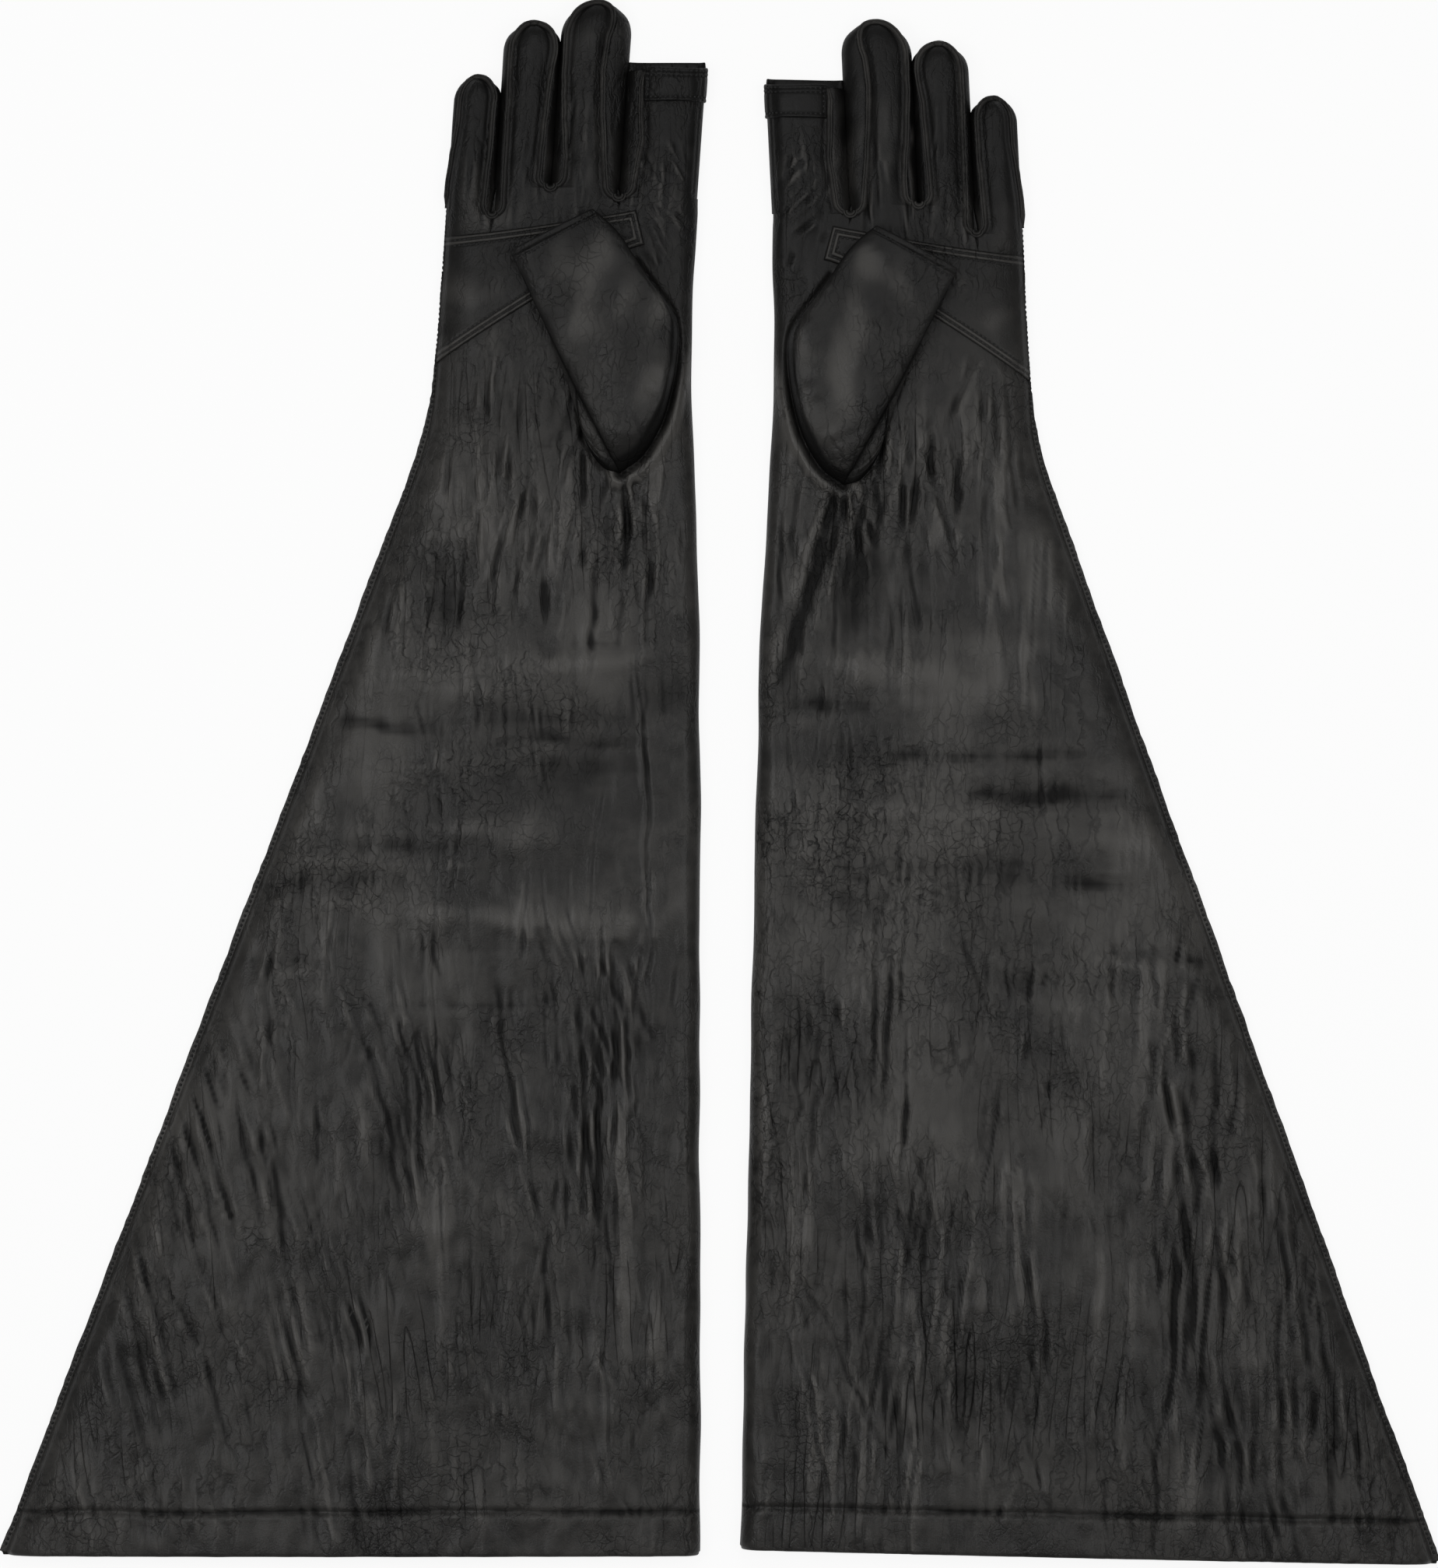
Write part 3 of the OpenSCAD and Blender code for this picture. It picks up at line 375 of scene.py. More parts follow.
    def layers(self, x, y, s):
        """Three layers of folds, which crease wherever they pass through nought, and how strong they are."""
        u = x - (0.15 if self.right else 0.02) * (y - 150) * ramp((x - 50) / 110) * ramp((330 - y) / 120)
        u = u + 2.6 * lattice_noise(x / 55, y / 75, s + 1) + 0.8 * lattice_noise(x / 22, y / 24, s + 2)
        cuff = np.interp(y, UP_TO_HEM, [0.6, 0.85, 1.1, 1.0, 0.4, 0.3, 0.8, 0.9, 0.25, 0.35, 0.2])
        patchy = lerp(0.2 if self.right else 0.6, 1.3, ramp(0.5 + 0.9 * lattice_noise(x / 48, y / 70, s + 7)))
        return (lattice_noise(u / 12, y / 90, s + 3), lattice_noise(u / 6.4, y / 64, s + 4),
                lattice_noise(u / 3.8, y / 22, s + 5), cuff * patchy)

    def fineness(self, x, y, s):
        cuff = np.interp(y, UP_TO_HEM, [0.8, 0.85, 1.0, 0.9, 0.4, 0.3, 0.8, 0.9, 0.3, 0.45, 0.3])
        return cuff * lerp(0.15, 1.35, ramp(0.5 + 0.9 * lattice_noise(x / 30 + 9, y / 46, s + 8)))

    def sharp(self, x, y, back):
        """Height of the creases and the narrow ridges beside them, before their depth is set."""
        s = self.seed + (500 if back else 0)
        wide, long, short, strength = self.layers(x, y, s)
        h = 0.8 * strength * folds(wide, 0.02) + (0.4 if self.right else 0.75) * strength * folds(long, 0.004)
        h = h + 0.35 * self.fineness(x, y, s) * folds(short, 0.004)
        if back:
            return h
        h = np.array(h + 0 * x)
        for cx, cy, dx, dy, half, width, depth, sway in self.creases:
            near = (np.abs(y - cy) < half * abs(dy) + 9) & (np.abs(x - cx) < half * abs(dx) + 9)
            if not near.any():
                continue
            px, py = x[near] - cx, y[near] - cy
            along, aside = px * dx + py * dy, px * dy - py * dx
            aside = aside + sway * lattice_noise(along / 24, cx, s) + 0.3 * sway * lattice_noise(along / 8, cx + 0.5, s)
            cut = (bell(aside, width) - 0.55 * bell(aside - 2.0 * width, 1.2 * width)
                   + 0.2 * bell(aside - 5.0 * width, 2.4 * width) - 0.25 * bell(aside + 2.0 * width, 1.3 * width))
            broken = 0.75 + 0.45 * lattice_noise(along / 13, cx + 0.3, s) + 0.15 * np.sin(along / 4 + cx)
            h[near] -= depth * cut * np.clip(1 - (along / half) ** 4, 0, 1) * np.clip(broken, 0.1, 1.2)
        return h

    def wrinkle(self, x, y, back=False):
        """Relief in millimetres, gone at the seams and under the patch."""
        x, y = np.broadcast_arrays(np.asarray(x, float), np.asarray(y, float))
        depth = bpy.context.scene.glove_sizes.crease_depth / MM * (0.45 if back else 1)
        return depth * self.loose(x, y, back) * (self.broad(x, y, back) + self.sharp(x, y, back))

    def hem_top(self, x):
        """Height of the crease where the hem's turned-in edge ends."""
        return (HEM_L + 1.0 + 0.7 * lattice_noise(x / 34, 0.4, self.seed + 60)
                + 0.25 * lattice_noise(x / 6, 0.8, self.seed + 61))

    def standing(self, x, y):
        """How far the palm side stands out or lies low, which the finish paints as highlight and shade, with painted
        light beside the thumb's seam and in the hem's crease.
        """
        out = self.sharp(x, y, False) + lerp(0.22, 0.42, ramp((y - 190) / 60)) * self.broad(x, y, False)
        root = distance_to(SEAM_INNER, x, y)
        # painted highlight on the rim beside the thumb's seam, painted shade in the seam itself
        beside = (0.8 * bell(root - 4.4, 1.9) - 0.8 * bell(root - 0.6, 1.3)) * thumb_rim(y)
        # painted shade along the crease where the hem's turned-in edge ends
        hem = 0.3 + 0.6 * ramp(0.5 + lattice_noise(x / 24, 0.6, self.seed + 62))
        return out * self.loose(x, y) + beside - hem * bell(y - self.hem_top(x) - 0.9, 1.0)

    def fold_lines(self, x, y):
        """The two finer layers and their strength, for the finish to draw as sharp lines of painted shade."""
        _, long, short, strength = self.layers(x, y, self.seed)
        return np.stack([long, short, strength * self.loose(x, y)], -1)

    def loose(self, x, y, back=False):
        """Share of the creasing at a place: none at the seams, little under the patch."""
        mask = ramp((from_lip(x, y) - 0.4) / 9) * lerp(0.12, 1, ramp((x - inner_x(y)) / 8))
        if not back:
            low, high = patch_edges(x)
            inside = ramp((y - low + 3) / 5) * ramp((high + 3 - y) / 5) * ramp((x - STRAP_X + 3) / 5)
            mask = mask * (1 - 0.75 * inside)
            mask = mask * lerp(0.35, 1, ramp((distance_to(SEAM_INNER, x, y) - 1) / 6))
        return mask


def patch_edges(x):
    """Lower and upper edge of the palm patch at a place across the palm."""
    reach = outer_x(PATCH_TOP) - PATCH_SEAM_GAP
    f = np.clip((reach - x) / (reach - STRAP_X), 0, 1)
    return lerp(PATCH_BOTTOM, STRAP_TOP - STRAP_W, 1 - (1 - f) ** 1.25), lerp(PATCH_TOP, STRAP_TOP, f ** 1.3)


# ---- Heights of the leather above the table ----
def tip_start(finger):
    return BASES[finger] + LENGTHS[finger] - TIP * WIDTHS[finger]


def tip_share(finger, y):
    """From 0 where the round tip starts to 1 at its end; the index stall is cut off and has none."""
    if finger == "index":
        return np.zeros_like(y)
    return np.clip((y - tip_start(finger)) / (TIP * WIDTHS[finger]), 0, 1)


def flat_share(finger, y):
    """Height that is left towards the tip."""
    return np.sqrt(np.maximum(1 - tip_share(finger, y) ** 2.6, 0))


def half_w(finger, y):
    return WIDTHS[finger] / 2 * np.sqrt(np.maximum(1 - tip_share(finger, y) ** 2, 1e-5))


def side_w(finger, side, y):
    """Middle of the stall to its side, pressed against the next stall where there is one."""
    half = half_w(finger, y)
    if (finger, side) in (("little", 1), ("index", -1)):
        return half
    reach = GAP / 2 + 0.3
    if (finger, side) in (("little", -1), ("index", 1)):    # the next finger starts higher up
        reach = lerp(GAP + 0.4, reach, ramp((y - KNUCKLE_Y) / 4))
    pressed = ramp((half / WIDTHS[finger] - 0.3) / 0.16)    # not round the tip
    return half + reach * (y >= CROTCH[finger, side]) * pressed


def panel_half(finger, side, y):
    """Middle of the stall to its outseam on one side."""
    if (finger, side) == ("index", -1):
        return half_w(finger, y)
    rise = y - CROTCH[finger, side]
    heights, insets = INSET[finger, side]
    inset = np.interp(rise, heights, insets)
    if (finger, side) != ("little", 1):
        inset = inset * quarter(rise / 4.6)
    half = WIDTHS[finger] / 2 - inset
    if finger == "index":
        return half
    near = np.clip((y - tip_start(finger)) / (TIP * WIDTHS[finger] - SEAM_SHORT), 0, 1)
    return half * np.sqrt(np.maximum(1 - near ** 2, 0))


def wall_z(past, reach, rim, flat=1.0):
    """Height of a fourchette by how far past the outseam a place is."""
    u = np.clip(past / np.maximum(reach, 1e-3), 0, 1)
    return STALL_LOW_Z + (rim - STALL_LOW_Z) * np.sqrt(1 - u * u) * flat - 0.5 * bell(past - 0.8, 0.6)


def trank_z(x, y):
    """Palm side of the cuff and the hand: up from the seam's lip and from the inner fold to a low arch."""
    e, w = from_lip(x, y), from_lip(inner_x(y), y)
    h = lerp(CUFF_H, HAND_H, np.clip(y / WRIST_Y, 0, 1))
    base = SHOULDER * h
    lip = SEAM_Z + LEATHER_T
    z = np.minimum(lip + (base - lip) * quarter(e / RISE_SEAM), FOLD_Z + (base - FOLD_Z) * quarter((w - e) / RISE_FOLD))
    share = np.clip(e / w, 0, 1)
    z = z + (h - base) * 4 * share * (1 - share)
    return np.where(e <= 0, lip, z - 0.55 * bell(e - 0.7, 0.7))


def stall_z(finger, x, y):
    """Palm side of one stall: its panel, and the fourchettes that fall away from the outseams."""
    off = x - stall_x(finger, y)
    far = np.abs(off)
    z = np.zeros_like(off)
    for side in (1, -1):
        hw = side_w(finger, side, y)
        half = np.maximum(panel_half(finger, side, y), 1e-3)
        round_q = 1 - np.clip(far / half, 0, 1) ** 2
        edge = PANEL_EDGE_Z
        if (finger, side) == ("little", 1):    # the side seam runs up this side and rises to the outseam
            edge = lerp(SEAM_Z + LEATHER_T + 1.4, 6.2, ramp((y - LITTLE_Y - 12) / 26))
            panel = edge + (STALL_TOP_Z - edge) * np.sqrt(round_q)
        elif (finger, side) == ("index", -1):    # the inner fold goes on up this side
            panel = FOLD_Z + (10.6 - FOLD_Z) * quarter((hw - far) / RISE_FOLD) + 1.7 * round_q
        else:
            panel = edge + (STALL_TOP_Z - edge) * round_q ** lerp(2.0, 1.0, ramp((y - BASES[finger]) / 9))
        panel = panel - 0.45 * bell(half - far - 1.7, 0.55) * ramp((y - CROTCH[finger, side]) / 3)
        out = (far > half) & (hw - half > 0.02)
        z = np.where(off * side >= 0, np.where(out, wall_z(far - half, hw - half, edge), panel), z)
    return STALL_LOW_Z + (z - STALL_LOW_Z) * flat_share(finger, y)


def thumb_rim(y):
    """The palm stands up beside the thumb's seam, up to the upper end of the seam."""
    return ramp((476 - y) / 24)


def palm_z(glove, finger, x, y, creased=True):
    """The palm side anywhere on the hand and on the given finger."""
    rise = y - BASES[finger]
    hand, stall = trank_z(x, y), stall_z(finger, x, y)
    arch = ramp((rise + 14) / 26)
    z = lerp(hand, stall, arch)
    off = x - stall_x(finger, y)
    for side in (1, -1):    # the walls of the gap between two fingers go down at once
        if (finger, side) in (("little", 1), ("index", -1)):
            continue
        hw, half = side_w(finger, side, y), panel_half(finger, side, y)
        gone = (off * side > half) & (hw - half > 0.02)
        rim = lerp(hand, PANEL_EDGE_Z, arch)
        z = np.where(gone, wall_z(off * side - half, hw - half, rim, flat_share(finger, y)), z)
    root = distance_to(SEAM_INNER, x, y)
    z = z - 1.5 * bell(root, 1.1) + 2.0 * bell(root - 3.6, 2.2) * thumb_rim(y)
    z = z - 1.3 * bell(distance_to(SEAM_OUTER[:24], x, y), 1.3)
    if creased:
        fade = 1 - tip_share(finger, y)
        side = np.where(rise > 0, ramp((side_w(finger, 1, y) - np.abs(off)) / 3), 1)
        z = z + glove.wrinkle(x, y) * fade * side
        top = glove.hem_top(x)
        hem = 0.45 * ramp((top - y) / 1.6) - 0.9 * bell(y - top - 0.9, 1.0)
        z = z + hem * ramp(from_lip(x, y) / 3)
    return z


def back_z(glove, finger, x, y, creased=True):
    """The side that lies on the table."""
    f = x - inner_x(y)
    from_seam = (SEAM_Z - LEATHER_T) * (1 - np.clip(from_lip(x, y) / 6, 0, 1)) ** 2
    z = np.maximum(from_seam, FOLD_Z * (1 - quarter(f / FOLD_Z)))
    off = x - stall_x(finger, y)
    hw = np.where(off > 0, side_w(finger, 1, y), side_w(finger, -1, y))
    side = STALL_LOW_Z * np.maximum(np.clip(np.abs(off) / hw, 0, 1) ** 6, tip_share(finger, y) ** 5)
    if finger == "index":
        side = np.where(off < 0, FOLD_Z * (1 - quarter((hw + off) / FOLD_Z)), side)
    z = lerp(z, side, ramp((y - BASES[finger] + 14) / 14))
    if creased:
        rise = glove.wrinkle(x, y, back=True) + 0.25
        z = z + np.maximum(rise, 0) * ramp(f / 6) * (1 - tip_share(finger, y))
    return z


def on_palm(glove, x, y, lift=0.0):
    """Points on the palm side, each by the finger that it lies below."""
    x, y = np.broadcast_arrays(np.asarray(x, float), np.asarray(y, float))
    near = np.argmin([np.abs(x - stall_x(f, y)) - WIDTHS[f] / 2 for f in FINGERS], 0)
    z = np.zeros(x.shape)
    for k, finger in enumerate(FINGERS):
        on = near == k
        if on.any():
            z[on] = palm_z(glove, finger, x[on], y[on])
    return np.stack([x, y, z + lift], -1)


# ---- Meshes ----
def lattice(rows, cols, closed_cols=False, closed_rows=False, start=0):
    """Faces of a grid of points; outwards is up where rows run up the glove and columns run inwards."""
    j = np.arange(rows if closed_rows else rows - 1)
    i = np.arange(cols if closed_cols else cols - 1)
    jj, ii = np.meshgrid(j, i, indexing="ij")
    jn, inn = (jj + 1) % rows, (ii + 1) % cols
    quads = np.stack([jj * cols + ii, jn * cols + ii, jn * cols + inn, jj * cols + inn], -1)
    return (quads.reshape(-1, 4) + start).tolist()


def drawn(glove, size, row, x, y):
    """The painted highlight and shade, mostly from how far the palm side stands out, and the fold lines for a grid of
    that size, whose palm side starts in that row.
    """
    relief, lines = np.zeros(size[:2]), np.zeros(size)
    relief[row:row + len(x), :x.shape[1]] = glove.standing(x, y)
    lines[row:row + len(x), :x.shape[1]] = glove.fold_lines(x, y)
    return {"relief": relief, "folds": lines}


class Shape:
    """Points and faces of one piece, gathered in glove millimetres."""

    def __init__(self):
        self.points, self.faces, self.sharp = [], [], set()
        self.relief = []    # painted highlight above nought and painted shade below it at each point, mostly from how far the point stands above its surroundings
        self.folds = []     # layers of folds that the finish draws as lines

    def count(self):
        """Number of points so far."""
        return sum(len(p) for p in self.points)

    def grid(self, grid, closed_cols=False, closed_rows=False, turned=False, relief=None, folds=None):
        """Adds a grid of points with its faces, and gives the number of its first point."""
        start = self.count()
        rows, cols = grid.shape[:2]
        self.points.append(grid.reshape(-1, 3))
        self.relief.append(np.zeros(rows * cols) if relief is None else relief.ravel())
        self.folds.append(np.zeros(rows * cols * 3) if folds is None else folds.ravel())
        faces = lattice(rows, cols, closed_cols, closed_rows, start)
        self.faces += [f[::-1] for f in faces] if turned else faces
        return start

    def cap(self, ring, turned=False):
        """Closes a ring of points that is already in the shape with a fan round its middle."""
        every = np.vstack(self.points)
        self.sharp.update(ring)
        self.points.append(every[ring].mean(0, keepdims=True))
        self.relief.append(np.zeros(1))
        self.folds.append(np.zeros(3))
        middle = self.count() - 1
        for a, b in zip(ring, list(ring[1:]) + [ring[0]]):
            self.faces.append([b, a, middle] if turned else [a, b, middle])

    def caps(self, start, rows, cols, turned=False):
        """Closes both ends of a tube with fans."""
        first = [start + i for i in range(cols)]
        last = [point + (rows - 1) * cols for point in first]
        for ring, flip in zip((last, first) if turned else (first, last), (False, True)):
            self.cap(ring, flip)

    def ends(self, start, rows, cols):
        """Closes both ends of a thin tube with one face each."""
        first = [start + i for i in range(cols)]
        self.faces += [first, [point + (rows - 1) * cols for point in first][::-1]]

    def sides(self, start, rows, cols):
        """Closes the first and the last column of a sheet with one face each."""
        first = [start + j * cols for j in range(rows)]
        self.faces += [first[::-1], [point + cols - 1 for point in first]]

    def build(self, glove, name, finish):
        """Makes the piece; the right-hand glove is the mirror image of the pattern."""
        mesh = bpy.data.meshes.new(glove.side + "_" + name)
        points = glove.place(np.vstack(self.points))
        faces = [f[::-1] for f in self.faces] if glove.right else self.faces
        mesh.from_pydata(points.tolist(), [], faces)
        mesh.validate()
        mesh.polygons.foreach_set("use_smooth", [True] * len(mesh.polygons))
        if self.sharp:
            ends = np.zeros(len(mesh.edges) * 2, np.int32)
            mesh.edges.foreach_get("vertices", ends)
            firm = np.isin(ends, list(self.sharp)).reshape(-1, 2).all(1)
            mesh.edges.foreach_set("use_edge_sharp", firm)
        relief, lines = np.concatenate(self.relief), np.concatenate(self.folds)
        if relief.any():
            mesh.attributes.new("relief", "FLOAT", "POINT").data.foreach_set("value", relief)
            mesh.attributes.new("folds", "FLOAT_VECTOR", "POINT").data.foreach_set("vector", lines)
        mesh.materials.append(finish)
        mesh.update()
        piece = bpy.data.objects.new(mesh.name, mesh)
        bpy.context.scene.collection.objects.link(piece)
        return piece


def frames(path, up):
    """Tangent, side and up directions along a line of points."""
    t = np.gradient(path, axis=0)
    t /= np.linalg.norm(t, axis=1, keepdims=True)
    side = np.cross(t, up)
    side /= np.linalg.norm(side, axis=1, keepdims=True)
    return t, side, np.cross(side, t)


def resample(path, pitch):
    """Points about one pitch apart along a path."""
    run = np.concatenate([[0], np.cumsum(np.linalg.norm(np.diff(path[:, :3], axis=0), axis=1))])
    count = max(2, int(round(run[-1] / pitch)) + 1)
    at = np.linspace(0, run[-1], count)
    return np.stack([np.interp(at, run, path[:, k]) for k in range(path.shape[1])], 1)


def sew(shape, path, up, seed):
    """A row of single stitches along a path, each sunk into the leather at both ends."""
    sizes = bpy.context.scene.glove_sizes
    pitch, thick = sizes.stitch_pitch / MM, sizes.thread / MM
    both = resample(np.hstack([path, np.broadcast_to(up, path.shape)]), pitch)
    rng = np.random.default_rng(seed)
    middle = (both[1:] + both[:-1]) / 2
    t, side, normal = frames(both[:, :3], both[:, 3:])
    t, side, normal = [(v[1:] + v[:-1]) / 2 for v in (t, side, normal)]
    ring = np.linspace(0, 2 * math.pi, 6, endpoint=False)
    # along the stitch in pitches, then its height and its girth in threads
    stations = [(-0.3, -0.42, 0.6), (-0.22, 0.05, 1.0), (0.0, 0.18, 1.08), (0.22, 0.05, 1.0), (0.3, -0.42, 0.6)]
    for k in range(len(middle)):
        skew = rng.normal(0, 0.07)
        rows = []
        for along, high, girth in stations:
            centre = middle[k, :3] + (t[k] + side[k] * skew) * along * pitch + normal[k] * high * thick
            rows.append([centre + 0.5 * thick * girth * (math.cos(a) * side[k] + 0.8 * math.sin(a) * normal[k])
                         for a in ring])
        shape.ends(shape.grid(np.array(rows), closed_cols=True), len(stations), len(ring))


def ridge(shape, path, up, seed, open_ends=()):
    """Two raw edges sewn together that stand proud along an outseam."""
    high = bpy.context.scene.glove_sizes.ridge_height / MM
    _, side, normal = frames(path, up)
    # across and up, from one foot over both raw edges to the other
    profile = [(-0.5, -0.9), (-0.52, 0.4), (-0.45, 0.86), (-0.24, 1.0), (-0.06, 0.82), (-0.02, 0.45), (0.02, 0.45),
               (0.06, 0.8), (0.22, 0.96), (0.44, 0.82), (0.52, 0.4), (0.5, -0.9)]
    run = np.arange(len(path))
    taper = np.ones(len(path))
    if "start" in open_ends:
        taper = np.minimum(taper, np.clip(run / 5, 0.15, 1))
    if "stop" in open_ends:
        taper = np.minimum(taper, np.clip((len(path) - 1 - run) / 5, 0.15, 1))
    sway = 0.22 * lattice_noise(run / 7.0, run * 0 + 0.3, seed) * taper
    rows = []
    for k, (px, pz) in enumerate(profile):
        rough = 0.12 * lattice_noise(run / 1.7, run * 0 + k * 0.37, seed + 3) if pz > 0.5 else 0
        rows.append(path + side * (px * RIDGE_W * lerp(0.8, 1, taper) + sway)[:, None]
                    + normal * (pz * high * taper + rough)[:, None])
    start = shape.grid(np.array(rows).transpose(1, 0, 2)[:, ::-1], closed_cols=True)
    shape.ends(start, len(path), len(profile))


# ---- Materials: sums on sockets add their own nodes ----
# Heights between which the painted shade over the hand and the fingers sets in
FINGER_SHADE = (CAD_BOX[0][1] + (WRIST_Y - 4) * MM, CAD_BOX[0][1] + (KNUCKLE_Y + 14) * MM)


class Level:
    """A value on its way through a finish."""

    def __init__(self, finish, socket):
        self.finish, self.socket = finish, socket

    def sum(self, operation, *others):
        return self.finish.node("ShaderNodeMath", {"operation": operation}, *others)

    def __add__(self, other): return self.sum("ADD", self, other)
    __radd__ = __add__
    def __mul__(self, other): return self.sum("MULTIPLY", self, other)
    __rmul__ = __mul__
    def __sub__(self, other): return self.sum("SUBTRACT", self, other)
    def __rsub__(self, other): return self.sum("SUBTRACT", other, self)


class Finish:
    """A procedural material and its nodes."""

    def __init__(self, name):
        self.material = bpy.data.materials.new(name)
        self.material.use_nodes = True
        self.tree = self.material.node_tree
        self.shader = self.tree.nodes["Principled BSDF"]
        self.place = self.node("ShaderNodeTexCoord", {}, out="Object")

    def feed(self, socket, value):
        """Links a level to a socket, or sets the socket to a plain value."""
        if isinstance(value, Level):
            self.tree.links.new(value.socket, socket)
        else:
            socket.default_value = value

    def node(self, kind, settings, *inputs, out=0, **named):
        made = self.tree.nodes.new(kind)
        for key, value in settings.items():
            setattr(made, key, value)
        for key, value in [*enumerate(inputs), *named.items()]:
            self.feed(made.inputs[key], value)
        return Level(self, made.outputs[out])

    def stretched(self, x, y, z):
        return self.node("ShaderNodeMapping", {}, self.place, Scale=(x, y, z))

    def noise(self, place, scale, detail=3.0, rough=0.5):
        return self.node("ShaderNodeTexNoise", {}, Vector=place, Scale=scale, Detail=detail, Roughness=rough)

    def cells(self, place, scale, feature="F1"):
        return self.node("ShaderNodeTexVoronoi", {"feature": feature}, Vector=place, Scale=scale, out="Distance")

    def between(self, value, low, high):
        return self.node("ShaderNodeMapRange", {"interpolation_type": "SMOOTHSTEP"}, Value=value,
                         **{"From Min": low, "From Max": high})

    def tint(self, share, a, b):
        mix = self.tree.nodes.new("ShaderNodeMix")
        mix.data_type = "RGBA"
        for key, value in ((0, share), (6, a), (7, b)):
            self.feed(mix.inputs[key], value if isinstance(value, (Level, float)) else (*value[:3], 1.0))
        return Level(self, mix.outputs[2])

    def bump(self, height, depth):
        return self.node("ShaderNodeBump", {}, Strength=1.0, Distance=depth, Height=height)

    def over(self, share, layer):
        """Lays a share of another shader over the surface."""
        mix = self.node("ShaderNodeMixShader", {}, share, Level(self, self.shader.outputs[0]), layer)
        self.tree.links.new(mix.socket, self.tree.nodes["Material Output"].inputs["Surface"])
        return self.material

    def surface(self, **sockets):
        for key, value in sockets.items():
            self.feed(self.shader.inputs[key.replace("_", " ")], value)
        return self.material


def times(share, colour):
    return tuple(share * part for part in colour[:3])


